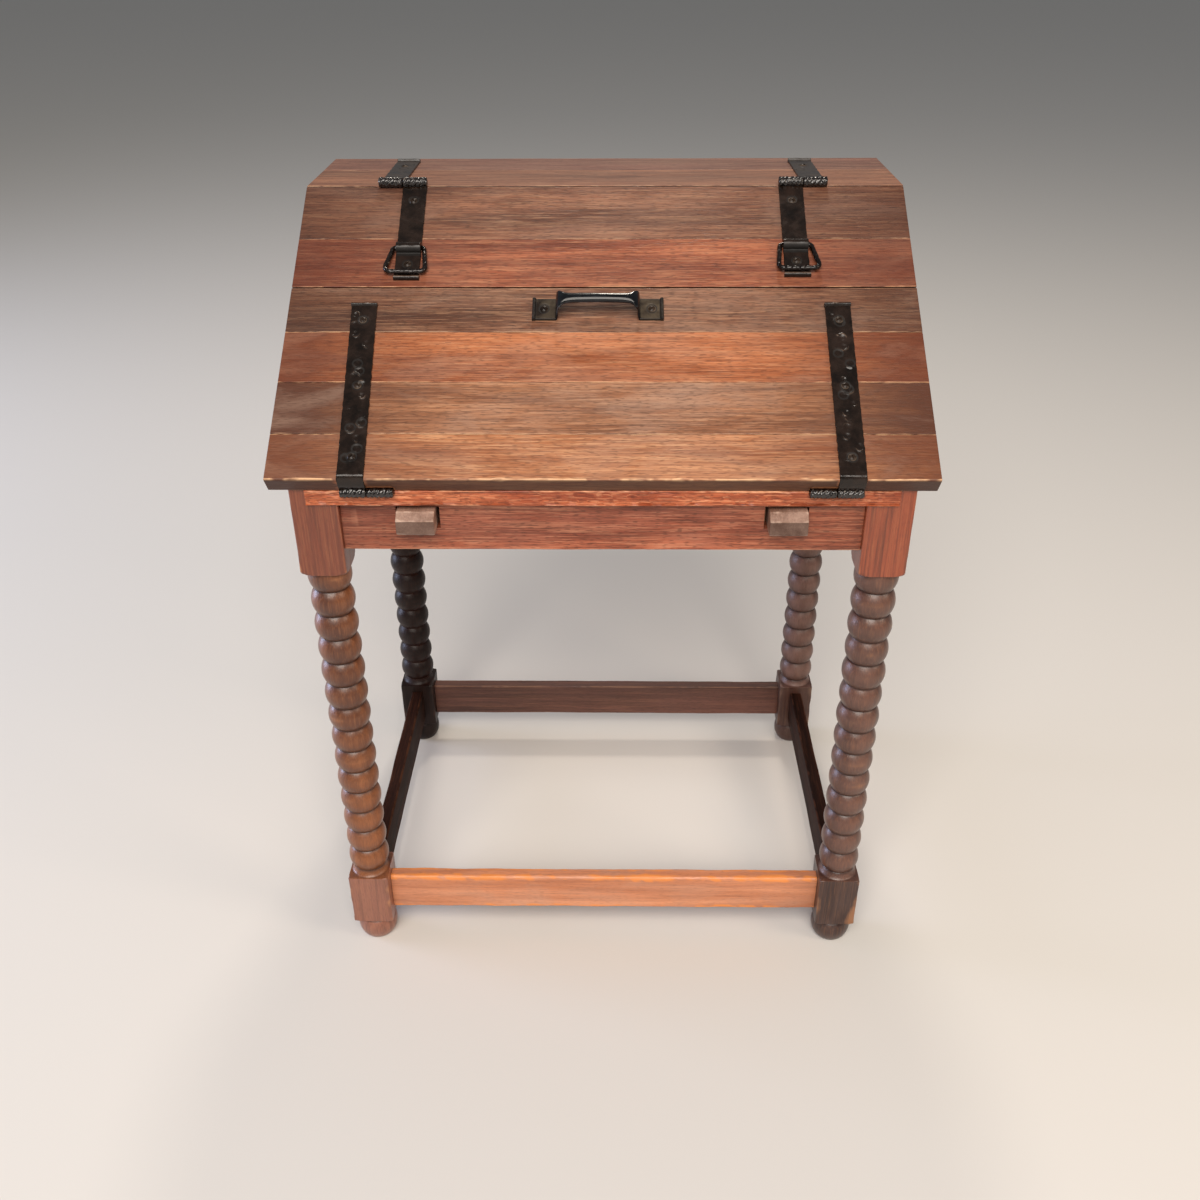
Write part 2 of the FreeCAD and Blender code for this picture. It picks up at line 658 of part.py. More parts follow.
def fall_strap(name, holes):
    """Strap up the fall, bent over the lip and down its end to the outer knuckle."""
    x0, x1 = LOWER[name][1]
    t = strap_thickness
    knuckle_n = lower_hinge_offset * math.tan(slope / 2) - leaf_thickness
    centre = strap_bend_radius

    def on_bend(radius, degrees):
        turn = math.radians(degrees)
        return slope_point(centre - radius * math.cos(turn), radius * math.sin(turn) - centre, x0)

    inner, outer = [[on_bend(radius, degrees) for degrees in (0, 45, 90)]
                    for radius in (strap_bend_radius, outer_bend_radius)]
    start, end = slope_point(fall_strap_wrap, 0, x0), slope_point(fall_strap_wrap, t, x0)
    inner_foot, outer_foot = slope_point(0, knuckle_n, x0), slope_point(-t, knuckle_n, x0)
    lines = [(start, inner[2]), (inner[0], inner_foot), (inner_foot, outer_foot), (outer_foot, outer[0]),
             (outer[2], end), (end, start)]
    edges = [Part.LineSegment(p, q).toShape() for p, q in lines]
    edges += [Part.Arc(*bend).toShape() for bend in (inner, outer)]
    wrap = Part.Face(Part.Wire(Part.__sortEdges__(edges))).extrude(V(x1 - x0, 0, 0))
    lip_s = fall_strap_top - strap_lip_length

    def row(s):
        return x0 + lean_at(name, s), x1 + lean_at(name, s)

    low, mid, top = row(fall_strap_wrap), row(lip_s), row(fall_strap_top)
    flat = slab([(low[0], fall_strap_wrap), (low[1], fall_strap_wrap), (top[1], fall_strap_top),
                 (top[0], fall_strap_top)], 0, t)
    raised = slab([(mid[0], lip_s), (mid[1], lip_s), (top[1], fall_strap_top), (top[0], fall_strap_top)],
                  t, t + strap_lip)
    knuckle, hole = barrel((x0, x1), lower_pin, lower_knuckle_radius, lower_pin_radius)
    return cut(fuse([wrap, flat, raised, knuckle]), [hole] + holes["fall_strap_screws"])


def bed_leaf(name, holes):
    """Leaf let flush into the bed, with the inner knuckle on its front edge."""
    x0, x1 = LOWER[name][0]
    plate = box(x0, x1, lower_pin.y, bed_front_y + bed_leaf_length, bed_top_z - strap_thickness, bed_top_z)
    knuckle, hole = barrel((x0, x1), lower_pin, lower_knuckle_radius, lower_pin_radius)
    return cut(fuse([plate, knuckle]), [hole] + holes["bed_leaf_screws"])


def arch(s, n, radius, x0, x1):
    """A bar standing on the slope with a round back, along X."""
    foot_low, foot_high = slope_point(s - radius, 0, x0), slope_point(s + radius, 0, x0)
    low, high = slope_point(s - radius, n, x0), slope_point(s + radius, n, x0)
    edges = [Part.LineSegment(high, foot_high).toShape(), Part.LineSegment(foot_high, foot_low).toShape(),
             Part.LineSegment(foot_low, low).toShape(),
             Part.Arc(low, slope_point(s, n + radius, x0), high).toShape()]
    return Part.Face(Part.Wire(edges)).extrude(V(x1 - x0, 0, 0))


def lid_strap(name, holes):
    """Strap down the lid from the inner knuckle, arched over the ring, with a raised end."""
    x0, x1 = UPPER[name][0]
    end = lid_strap_end[name]
    eye_s = end + ring_above_end
    inside = ring_bar_radius + eye_clearance
    flat = slab([(x0, end), (x1, end), (x1, upper_pin_s), (x0, upper_pin_s)], 0, strap_thickness)
    raised = slab([(x0, end), (x1, end), (x1, end + strap_lip_length), (x0, end + strap_lip_length)],
                  strap_thickness, strap_thickness + strap_lip)
    saddle = arch(eye_s, ring_pin_n, inside + strap_thickness, x0, x1)
    channel = arch(eye_s, ring_pin_n, inside, x0 - (x1 - x0), x1 + (x1 - x0))
    knuckle, hole = barrel((x0, x1), upper_pin, upper_knuckle_radius, upper_pin_radius)
    return cut(fuse([flat, raised, saddle, knuckle]), [channel, hole] + holes["lid_strap_screws"])


def top_leaf(name, holes):
    """Leaf that runs back over the top from the outer knuckle, with a raised end."""
    x0, x1 = UPPER[name][1]
    face_z = top_z + strap_thickness
    end_y = back_y - top_leaf_margin
    flat = box(x0, x1, upper_pin.y, end_y, top_z, face_z)
    raised = box(x0, x1, end_y - strap_lip_length, end_y, face_z, face_z + strap_lip)
    knuckle, hole = barrel((x0, x1), upper_pin, upper_knuckle_radius, upper_pin_radius)
    return cut(fuse([flat, raised, knuckle]), [hole] + holes["top_leaf_screws"])


def ring(name):
    """A lifting ring: a straight pin bar, two spread sides and a lower bar, of round iron."""
    middle = centre_of(UPPER[name][0])
    pin_s = lid_strap_end[name] + ring_above_end
    r = ring_corner_radius

    def on_ring(across, down):
        share = down / ring_height
        outward = SIDES[name] * share * ring_outward
        n = ring_pin_n + share * (ring_low_n - ring_pin_n)
        return slope_point(pin_s - down, n, middle + across + outward)

    corners = [on_ring(-ring_upper_half, 0), on_ring(-ring_lower_half, ring_height),
               on_ring(ring_lower_half, ring_height), on_ring(ring_upper_half, 0)]
    start, finish = on_ring(0, 0), on_ring(0, 0)
    path = [start] + corners + [finish]
    edges = []
    here = start
    for before, corner, after in zip(path, path[1:], path[2:]):
        u = (before - corner).normalize()
        w = (after - corner).normalize()
        half_turn = math.acos(max(-1.0, min(1.0, u.dot(w)))) / 2
        bend_radius = r if corner in (corners[1], corners[2]) else ring_bar_radius * 1.3
        reach = bend_radius / math.tan(half_turn)
        bisector = (u + w).normalize()
        centre = corner + bisector * (bend_radius / math.sin(half_turn))
        enter, leave = corner + u * reach, corner + w * reach
        edges.append(Part.LineSegment(here, enter).toShape())
        edges.append(Part.Arc(enter, centre - bisector * bend_radius, leave).toShape())
        here = leave
    edges.append(Part.LineSegment(here, finish).toShape())
    profile = Part.Wire([Part.Circle(start, (corners[0] - start).normalize(), ring_bar_radius).toShape()])
    return Part.Wire(edges).makePipeShell([profile], True, False)


def make_hinges(holes):
    """The straps, leaves and pins of both pairs of hinges, and the rings."""
    for name in SIDES:
        keep("fall_strap_" + name, fall_strap(name, holes))
        keep("bed_leaf_" + name, bed_leaf(name, holes))
        keep("lid_strap_" + name, lid_strap(name, holes))
        keep("top_leaf_" + name, top_leaf(name, holes))
        keep("ring_" + name, ring(name))
        lower_in, lower_out = LOWER[name]
        upper_in, upper_out = UPPER[name]
        keep("fall_hinge_pin_" + name, rod(lower_in[1], lower_out[1], lower_pin, lower_pin_radius))
        keep("lid_hinge_pin_" + name, rod(upper_in[1], upper_out[1], upper_pin, upper_pin_radius))


# ---------------------------------------------------------------- handle
def handle_section(x, n, turn, width, thickness):
    """A rectangle across the handle's bar, whose bar runs at turn degrees up from +X."""
    a = math.radians(turn)
    across = (-math.sin(a) * thickness / 2, math.cos(a) * thickness / 2)
    corners = []
    for up, wide in ((1, 1), (1, -1), (-1, -1), (-1, 1)):
        s = handle_s + wide * width / 2
        corners.append(slope_point(s, n + up * across[1], handle_x + x + up * across[0]))
    return Part.makePolygon(corners + corners[:1])


def make_handle(holes):
    """A bow handle forged from strap: two plates, two wide shoulders and a narrow grip."""
    t = strap_thickness
    half = handle_span / 2
    foot_n = t / 2
    top_n = handle_rise
    grip = handle_grip_thickness
    horn = handle_horn
    waist = handle_waist
    left = [(-half - t, foot_n, 0, strap_width, t), (-half + 0.3, foot_n + 1.2, 50, strap_width, t + 0.4),
            (-half + 1.5, top_n * 0.5, 86, (strap_width + horn) / 2, t + 0.6),
            (-half + 3.0, top_n - 2.8, 60, horn, t + 1.2),
            (-half + 7.0, top_n - 0.6, 12, horn * 0.72, t + 1.8),
            (-half + 17.0, top_n, 2, waist + 1.5, grip)]
    right = [(-x, n, -turn, width, thick) for x, n, turn, width, thick in reversed(left)]
    sections = left + [(0, top_n + 1.0, 0, waist, grip)] + right
    bow = Part.makeLoft([handle_section(*section) for section in sections], True, True)
    pieces = [bow]
    s0 = handle_s - strap_width / 2
    s1 = handle_s + strap_width / 2
    for side in SIDES.values():
        inner = handle_x + side * half
        outer = inner + side * handle_plate_length
        lip_x = outer - side * strap_lip_length
        pieces.append(slab([(inner, s0), (outer, s0), (outer, s1), (inner, s1)], 0, t))
        pieces.append(slab([(lip_x, s0), (outer, s0), (outer, s1), (lip_x, s1)], t, t + strap_lip))
    keep("handle", cut(fuse(pieces), holes["handle_screws"]))


# ---------------------------------------------------------------- build and write
def build():
    mortises = make_rails()
    for end, y in (("front", front_leg_y), ("back", back_leg_y)):
        for name, side in SIDES.items():
            keep("leg_%s_%s" % (end, name), leg(side, y, mortises))
    make_lopers()
    holes = make_screws()
    make_case(holes)
    make_leaves(holes)
    make_hinges(holes)
    make_handle(holes)


build()
os.makedirs("parts", exist_ok=True)
for node, shape in NODES.items():
    shape.exportStep("parts/%s.step" % node)
print("%d pieces written" % len(NODES))
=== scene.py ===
# %% [markdown]
# # A slant-front writing desk in worn hardwood and black iron
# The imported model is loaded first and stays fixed. It gives every piece its place and its motion.
# The pieces made below are dressed versions of its boards, turnings and irons: the same sizes, with
# the softened arrises, hammer marks and wear that decades of use leave.

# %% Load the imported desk
import math

import bmesh
import bpy
import numpy as np
from mathutils import Matrix, Vector


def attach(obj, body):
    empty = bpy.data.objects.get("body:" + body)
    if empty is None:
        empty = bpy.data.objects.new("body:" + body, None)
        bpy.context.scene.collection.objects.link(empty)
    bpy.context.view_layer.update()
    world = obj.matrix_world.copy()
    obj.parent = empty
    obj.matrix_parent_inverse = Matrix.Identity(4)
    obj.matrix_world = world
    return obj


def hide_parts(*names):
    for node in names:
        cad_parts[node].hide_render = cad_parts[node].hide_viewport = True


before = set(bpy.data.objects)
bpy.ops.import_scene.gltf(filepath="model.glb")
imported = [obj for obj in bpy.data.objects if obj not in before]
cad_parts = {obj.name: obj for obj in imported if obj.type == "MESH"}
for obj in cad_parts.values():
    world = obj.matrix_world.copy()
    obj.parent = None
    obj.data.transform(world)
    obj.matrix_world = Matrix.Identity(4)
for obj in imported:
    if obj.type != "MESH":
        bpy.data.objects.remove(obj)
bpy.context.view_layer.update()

# %% [markdown]
# ## The slope's own ruler
# The fall and the lid are boards on a 34 degree slope. Measuring them up the slope (s) and square
# out of it (n) keeps every board and strap a plain rectangle. One function turns such a pair into
# depth and height. All lengths are in millimetres until a mesh is made.

# %% Main sizes, and places on the slope
SLOPE = math.radians(34.0)
LEAF, BOARD = 24.0, 20.0  # thickness of the sloping boards, and of the case's boards
NOSE, HALF = 3.6, 29.0    # the bed's nose ahead of the legs, and half of a leg's square stock
TOP_Z, BED_Z, BED_UNDER = 1032.0, 758.3, 738.3
BACK_Y, BED_FRONT = 281.674, -268.925
TOP_UNDER, BACK_INNER, FRONT_Y = TOP_Z - BOARD, BACK_Y - BOARD, BED_FRONT + NOSE
LEG_X, LEG_Y = 345.0, {"front": FRONT_Y + HALF, "back": BACK_Y - HALF}
CREASE_Y, CREASE_S = 93.488, 453.337
CORNER = np.array([BED_FRONT, 758.6])
UPWARD = np.array([math.cos(SLOPE), math.sin(SLOPE)])
OUTWARD = np.array([-math.sin(SLOPE), math.cos(SLOPE)])
PANEL_HALF = 395.5
LOWER_PIN = np.array([BED_FRONT - 3.5, 757.53])
UPPER_PIN = np.array([CREASE_Y - 1.5, 1036.6])


def slope_yz(s, n):
    """Depth and height of points s up the slope and n out of the boards' outer face."""
    s, n = np.broadcast_arrays(np.asarray(s, float), np.asarray(n, float))
    return CORNER + s[..., None] * UPWARD + (n + LEAF)[..., None] * OUTWARD


def on_slope(x, s, n):
    """The same with a place x across the desk, as points (x, y, z)."""
    yz = slope_yz(s, n)
    return np.concatenate([np.broadcast_to(x, yz.shape[:-1])[..., None], yz], -1)


print("crease:", slope_yz(CREASE_S, 0))

# %% [markdown]
# ## Uneven by hand
# Nothing hand made is quite straight or even. A sum of a few slow waves, with random directions from
# a fixed seed, gives the same gentle unevenness on every run. It shapes worn arrises, wavy faces and
# the lengths of wear, and it needs no texture.

# %% Seeded unevenness
WAVES = 7


def drift(points, seed, length):
    """Smooth noise from about -1 to 1 over points, with waves of about the given length."""
    points = np.atleast_2d(np.asarray(points, float).T).T
    draw = np.random.default_rng(seed)
    total = np.zeros(points.shape[:-1])
    for _ in range(WAVES):
        way = draw.normal(size=points.shape[-1])
        way /= np.linalg.norm(way)
        reach = length * draw.uniform(0.55, 1.5)
        total += np.sin(points @ way * 2 * math.pi / reach + draw.uniform(0, 6.283))
    return total / 3.2


print("drift sample:", drift([0, 10, 20], 1, 30.0).round(2))

# %% [markdown]
# ## Turning points into a piece
# Most pieces here are a chain of closed rings of points with skin between them: rings along a
# board, round a leg or along a strap. Such meshes could also come from modifiers on curves, but rings
# made in code keep each arris where it is wanted and let wear be written on each point. Two marks go
# with the points: "worn_and_highlights" where hands rub and where highlights are painted paler, and
# "grime_and_shade" where dirt settles and where shade is painted darker. The finishes read them. Gains
# for hinges and slots are cut afterwards with a boolean, which keeps the marks.

# %% Skin over rings


def skin(rings, loop=False):
    """Faces over a stack of closed rings, capped at both ends unless the stack is a loop."""
    count, around = rings.shape[:2]
    last = count if loop else count - 1
    i, j = np.meshgrid(np.arange(last), np.arange(around), indexing="ij")
    k, m = (i + 1) % count, (j + 1) % around
    quads = np.stack([i * around + j, i * around + m, k * around + m, k * around + j], -1)
    faces = quads.reshape(-1, 4).tolist()
    if not loop:
        faces += [list(range(around))[::-1], list(range((count - 1) * around, count * around))]
    return rings.reshape(-1, 3), faces


def face_outward(mesh):
    """Turn every face to look out of its solid."""
    work = bmesh.new()
    work.from_mesh(mesh)
    bmesh.ops.recalc_face_normals(work, faces=work.faces)
    work.to_mesh(mesh)
    work.free()


def piece(name, body, shells, material, nodes=(), crisp=40.0):
    """One object from shells of (points, faces, worn and highlight mark, grime and shade mark), riding on a
    body in place of its nodes.
    """
    mesh = bpy.data.meshes.new(name)
    points, faces, worn_and_highlights, grime_and_shade, start = [], [], [], [], 0
    for shell_points, shell_faces, shell_worn_and_highlights, shell_grime_and_shade in shells:
        points.append(shell_points / 1000.0)
        faces += [[v + start for v in face] for face in shell_faces]
        start += len(shell_points)
        worn_and_highlights.append(np.broadcast_to(shell_worn_and_highlights, len(shell_points)))
        grime_and_shade.append(np.broadcast_to(shell_grime_and_shade, len(shell_points)))
    mesh.from_pydata(np.concatenate(points).tolist(), [], faces)
    for mark, values in (("worn_and_highlights", worn_and_highlights), ("grime_and_shade", grime_and_shade)):
        layer = mesh.attributes.new(mark, "FLOAT", "POINT")
        layer.data.foreach_set("value", np.concatenate(values).astype(np.float32))
    face_outward(mesh)
    mesh.shade_smooth()
    mesh.set_sharp_from_angle(angle=math.radians(crisp))
    for face in mesh.polygons:  # a big flat end stays flat, as smoothed corners would shade it in wedges
        face.use_smooth = len(face.vertices) <= 4
    mesh.materials.append(material)
    made = bpy.data.objects.new(name, mesh)
    bpy.context.scene.collection.objects.link(made)
    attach(made, body)
    if nodes:
        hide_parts(*nodes)
    return made


def carve(made, cutters):
    """Take cutters, given as (points, faces), out of a piece. Its marks stay."""
    for points, faces in cutters:
        mesh = bpy.data.meshes.new("cutter")
        mesh.from_pydata((np.asarray(points) / 1000.0).tolist(), [], faces)
        face_outward(mesh)
        tool = bpy.data.objects.new("cutter", mesh)
        bpy.context.scene.collection.objects.link(tool)
        chisel = made.modifiers.new("chisel", "BOOLEAN")
        chisel.operation, chisel.solver, chisel.object = "DIFFERENCE", "EXACT", tool
        shaped = made.evaluated_get(bpy.context.evaluated_depsgraph_get())
        shaped = bpy.data.meshes.new_from_object(shaped)
        made.modifiers.clear()
        made.data = shaped
        bpy.data.objects.remove(tool)
    made.data.set_sharp_from_angle(angle=math.radians(40.0))


print("faces of a plain box:", len(skin(np.zeros((2, 4, 3)))[1]))

# %% [markdown]
# ## Colour and the shader nodes
# Colours are picked as sRGB hex values, as a paint chart gives them, and Blender wants linear light,
# so one function converts them. Another adds a node with its settings and its links in one line,
# which keeps each finish readable as a recipe.

# %% Hex to linear, and one way to add a node


def linear(hex_colour, alpha=1.0):
    """An sRGB hex colour as linear RGBA."""
    parts = [int(hex_colour[i:i + 2], 16) / 255.0 for i in (1, 3, 5)]
    return tuple(c / 12.92 if c <= 0.04045 else ((c + 0.055) / 1.055) ** 2.4 for c in parts) + (alpha,)


def add(tree, kind, inputs=None, output=0, **settings):
    """A shader node with its settings, its inputs set or linked. It gives back the output asked for."""
    made = tree.nodes.new("ShaderNode" + kind)
    for key, value in settings.items():
        setattr(made, key, value)
    for key, value in (inputs or {}).items():
        if isinstance(value, bpy.types.NodeSocket):
            tree.links.new(value, made.inputs[key])
        else:
            made.inputs[key].default_value = value
    return made.outputs[output] if made.outputs else made


def blank(name):
    """A new material and its empty tree."""
    made = bpy.data.materials.new(name)
    made.use_nodes = True
    made.node_tree.nodes.clear()
    return made, made.node_tree


print("tan in linear light:", [round(c, 3) for c in linear("#b47755")])

# %% [markdown]
# ## Finish: old oiled mahogany, hand rubbed
# The boards are an open-grained red-brown hardwood such as Philippine mahogany, stained and oiled, with
# the stain rubbed off at the arrises. To the eye it is a slow ribbon of lighter and darker wood along
# the grain, finer streaks and fibres, short dark pores a few millimetres long, a greyer film where it
# was handled, which is also a painted pale sheen over the middle of each board, and pale bare wood on
# the edges. An image would give that too, but it would repeat and need unwrapping. Noise stretched
# along the grain follows any board. Real fibres and pores are about 0.3 mm wide. They are drawn 1.7 and
# 1.3 mm wide, so that they still show at the size of the whole desk. Oiled wood has an IOR near 1.5
# and a broad, soft gloss.

# %% The mahogany finish
# colour of dirt in the joints, and of the shade painted on the legs and lopers
GRIME_AND_SHADE = "#260d05"
GRAIN = (
    # width across and length along the grain in mm, detail, and how far it wanders
    (None, 560.0, 3.0, 0.45),  # slow bands, of the board's own width
    (4.5, 200.0, 4.0, 0.1),    # streaks
    (1.7, 50.0, 1.0, 0.0),     # fibres
    (1.3, 9.0, 0.0, 0.0),      # pores
    (60.0, 150.0, 6.0, 0.8),   # patches of stain and handling
)


def mahogany(name, light, dark, film_and_sheen, bare, along="X", seed=0.0, roughness=0.48, ribbon=30.0, haze=0.4,
             ends=0.0, contrast=1.0, wear=0.7, blocks=(), wax=0.0, shine=0.5):
    """Oiled open-grained hardwood with its grain along one axis, in coats laid over each other.

    Ribbon is the width of its slow bands in mm, haze the share of the handled film, which is also a
    painted pale sheen over a board's middle, ends the share by which its ends are darker, wax the weight
    of a glossy coat and shine the strength of its gloss.
    Blocks are a leg's square parts, as (height where it starts, height where it is full, colour, share
    of dark stripes), with heights in metres.
    """
    made, tree = blank(name)
    where = add(tree, "TexCoord", output="Object")
    worn_and_highlights = add(tree, "Attribute", output="Fac", attribute_name="worn_and_highlights")
    grime_and_shade = add(tree, "Attribute", output="Fac", attribute_name="grime_and_shade")
    grain = []
    for k, (wide, long, detail, warp) in enumerate(GRAIN):
        size = [long if axis == along else wide or ribbon for axis in "XYZ"]
        spot = add(tree, "Mapping", {"Vector": where, "Scale": [1000.0 / mm for mm in size],
                                     "Location": (seed * 3.7 + 11.0 * k, seed * 5.3, seed * 7.9)})
        grain.append(add(tree, "TexNoise", {"Vector": spot, "Scale": 1.0, "Detail": detail,
                                            "Roughness": 0.6, "Distortion": warp}))
    bands, streaks, fibres, pores, patches = grain
    tone = add(tree, "MapRange", {"Value": bands, "From Min": 0.36, "From Max": 0.64})
    colour = add(tree, "Mix", {0: tone, 6: linear(dark), 7: linear(light)}, 2, data_type="RGBA")
    height = add(tree, "SeparateXYZ", {0: where}, "Z")
    distance = add(tree, "Math", {0: add(tree, "SeparateXYZ", {0: where}, along)}, operation="ABSOLUTE")
    nudge = add(tree, "MapRange", {"Value": patches, "From Min": 0.3, "From Max": 0.7,
                                   "To Min": -0.05, "To Max": 0.05})
    outer = add(tree, "Math", {0: distance, 1: nudge}, operation="ADD")
    # the handled film fades towards the ends: partly real film, partly a painted pale sheen over the middle
    lost = add(tree, "MapRange", {"Value": distance, "From Min": 0.12, "From Max": 0.34, "To Max": 0.1})
    handled_film_and_sheen = add(tree, "Math", {0: patches, 1: lost}, operation="SUBTRACT")
    uneven = add(tree, "Math", {0: fibres, 1: patches}, operation="ADD")
    rubbed_and_highlight = add(tree, "Math", {0: worn_and_highlights, 1: uneven}, operation="MULTIPLY")
    deep = [c * 0.3 for c in linear(dark)[:3]] + [1.0]
    burnt = [c * share for c, share in zip(linear(dark), (0.42, 0.34, 0.3, 1.0))]
    for start, full, shade, striped in blocks:
        square = add(tree, "MapRange", {"Value": height, "From Min": start, "From Max": full})
        colour = add(tree, "Mix", {0: square, 6: colour, 7: linear(shade)}, 2, data_type="RGBA")
        stripes = add(tree, "MapRange", {"Value": streaks, "From Min": 0.46, "From Max": 0.62,
                                         "To Max": striped})
        stripes = add(tree, "Math", {0: square, 1: stripes}, operation="MULTIPLY")
        colour = add(tree, "Mix", {0: stripes, 6: colour, 7: deep}, 2, data_type="RGBA")
    for mark, start, full, most, shade in (
            (patches, 0.52, 0.3, 0.5 * contrast, linear(dark)),
            (streaks, 0.5, 0.66, 0.36 * contrast, deep), (streaks, 0.48, 0.34, 0.22 * contrast, linear(bare)),
            (fibres, 0.52, 0.68, 0.42 * contrast, deep), (fibres, 0.46, 0.34, 0.28 * contrast, linear(bare)),
            (outer, 0.16, 0.37, ends, burnt), (handled_film_and_sheen, 0.44, 0.68, haze, linear(film_and_sheen)),
            (pores, 0.57, 0.69, 0.45 * contrast, deep), (rubbed_and_highlight, 0.4, 0.85, wear, linear(bare)),
            (grime_and_shade, 0.0, 1.0, 0.88, linear(GRIME_AND_SHADE))):
        share = add(tree, "MapRange", {"Value": mark, "From Min": start, "From Max": full, "To Max": most})
        colour = add(tree, "Mix", {0: share, 6: colour, 7: shade}, 2, data_type="RGBA")
    relief = add(tree, "Math", {0: fibres, 1: pores}, operation="ADD")
    bump = add(tree, "Bump", {"Height": relief, "Strength": 0.45, "Distance": 0.0005}, invert=True)
    gloss = add(tree, "MapRange", {"Value": patches, "From Min": 0.3, "From Max": 0.75,
                                   "To Min": roughness - 0.08, "To Max": roughness + 0.14})
    shader = add(tree, "BsdfPrincipled", {
        "Base Color": colour, "IOR": 1.5, "Roughness": gloss, "Normal": bump,
        "Specular IOR Level": shine, "Coat Weight": wax, "Coat Roughness": 0.33})
    add(tree, "OutputMaterial", {"Surface": shader})
    return made


# %% One recipe for each board
WOODS = {}
for seed, (name, light, dark, film_and_sheen, bare, own) in enumerate((
    # the fall, from the lip up: tan and most rubbed, greyed, orange, dark brown
    ("fall_lip_board", "#c8875a", "#935634", "#b08a72", "#e8b98c", {"ends": 0.9, "wear": 0.8}),
    ("fall_third_board", "#ab724d", "#7b4b30", "#a08371", "#cfa07b", {"ends": 1.0, "haze": 0.5}),
    ("fall_second_board", "#c17446", "#8a4724", "#b0836a", "#d6a278", {"ends": 0.9, "haze": 0.34}),
    ("fall_top_board", "#85553b", "#573321", "#937462", "#c59a77", {"ends": 0.6, "haze": 0.5}),
    # the lid: red-brown below, dusty brown above
    ("lid_lower_board", "#a95e3d", "#743720", "#996b52", "#cf966e", {"ends": 0.7, "haze": 0.3}),
    ("lid_upper_board", "#8b5940", "#603826", "#866655", "#b98f6d", {"ends": 0.6, "haze": 0.45}),
    # the top: dull, with its grain half hidden by dust
    ("top_front_board", "#9c664a", "#6b4330", "#84624f", "#c79c79", {"contrast": 0.8}),
    ("top_back_board", "#8b5c4c", "#633e31", "#7c5f50", "#ba9678", {"contrast": 0.8}),
    # bed and aprons: red stain with a strong grain
    ("bed_red_stain", "#cf6f42", "#8a371a", "#b5714c", "#f0b084",
     {"haze": 0.25, "ends": 0.3, "contrast": 1.1, "wear": 0.8}),
    ("apron_red_stain", "#b05f40", "#733420", "#96604f", "#d59a78",
     {"ends": 0.6, "contrast": 1.15, "wear": 0.4}),
    ("side_apron", "#94543b", "#693827", "#805548", "#c79676", {"along": "Y"}),
    ("case_side", "#94583f", "#643624", "#7c5344", "#c59574", {"along": "Y"}),
    ("case_back", "#8f5840", "#643827", "#7a5446", "#bd8f70", {}),
    # stretchers: the front one rubbed pale by shoes, the others dark and dry
    ("front_stretcher", "#e89e76", "#b87452", "#bf9680", "#e88d42",
     {"roughness": 0.4, "ends": 0.45, "contrast": 0.4, "haze": 0.5, "wear": 0.8}),
    ("back_stretcher", "#6d453a", "#482a21", "#62453d", "#8f6448", {"wear": 0.4, "contrast": 0.5}),
    ("side_stretcher", "#34190f", "#1c0b05", "#33201a", "#5c3826",
     {"along": "Y", "wear": 0.5, "roughness": 0.7, "contrast": 0.6, "shine": 0.12}),
    # never stained or oiled: pale and matt
    ("loper_bare", "#a58575", "#785848", "#92786a", "#d6baa8",
     {"along": "Y", "roughness": 0.6, "contrast": 0.3, "wear": 0.5}),
    ("runner_unfinished", "#a88266", "#805c45", "#927260", "#c5a184", {"along": "Y", "roughness": 0.65}),
), 1):
    WOODS[name] = mahogany("mahogany_" + name, light, dark, film_and_sheen, bare, seed=float(seed), **own)
# turned legs: the front ones waxed by hands and legs, the back ones dull, the left one nearly black
for seed, (corner, light, dark, film_and_sheen, bare, upper, lower) in enumerate((
    ("front_left", "#8e5227", "#502710", "#785143", "#c98a5a", "#73361f", "#955f4b"),
    ("front_right", "#654235", "#381f17", "#665049", "#bd8153", "#8f4225", "#2e0f06"),
    ("back_left", "#261713", "#140a08", "#281c1a", "#55392d", "#261713", "#1f120e"),
    ("back_right", "#7c5a4f", "#472b22", "#665149", "#8f6d57", "#5a3a30", "#4a2c22"),
), 19):
    WOODS[corner] = mahogany(
        "mahogany_turned_" + corner, light, dark, film_and_sheen, bare, along="Z", seed=float(seed), roughness=0.42,
        ribbon=60.0, haze=0.3, contrast=0.32, wear=0.5, wax=0.45 if corner.startswith("front") else 0.1,
        shine=0.2 if corner == "back_left" else 0.5,
        blocks=[(0.6385, 0.6405, upper, 0.4 if corner == "front_right" else 0.14),
                (0.129, 0.127, lower, 0.2)])
print("mahogany finishes:", len(WOODS))
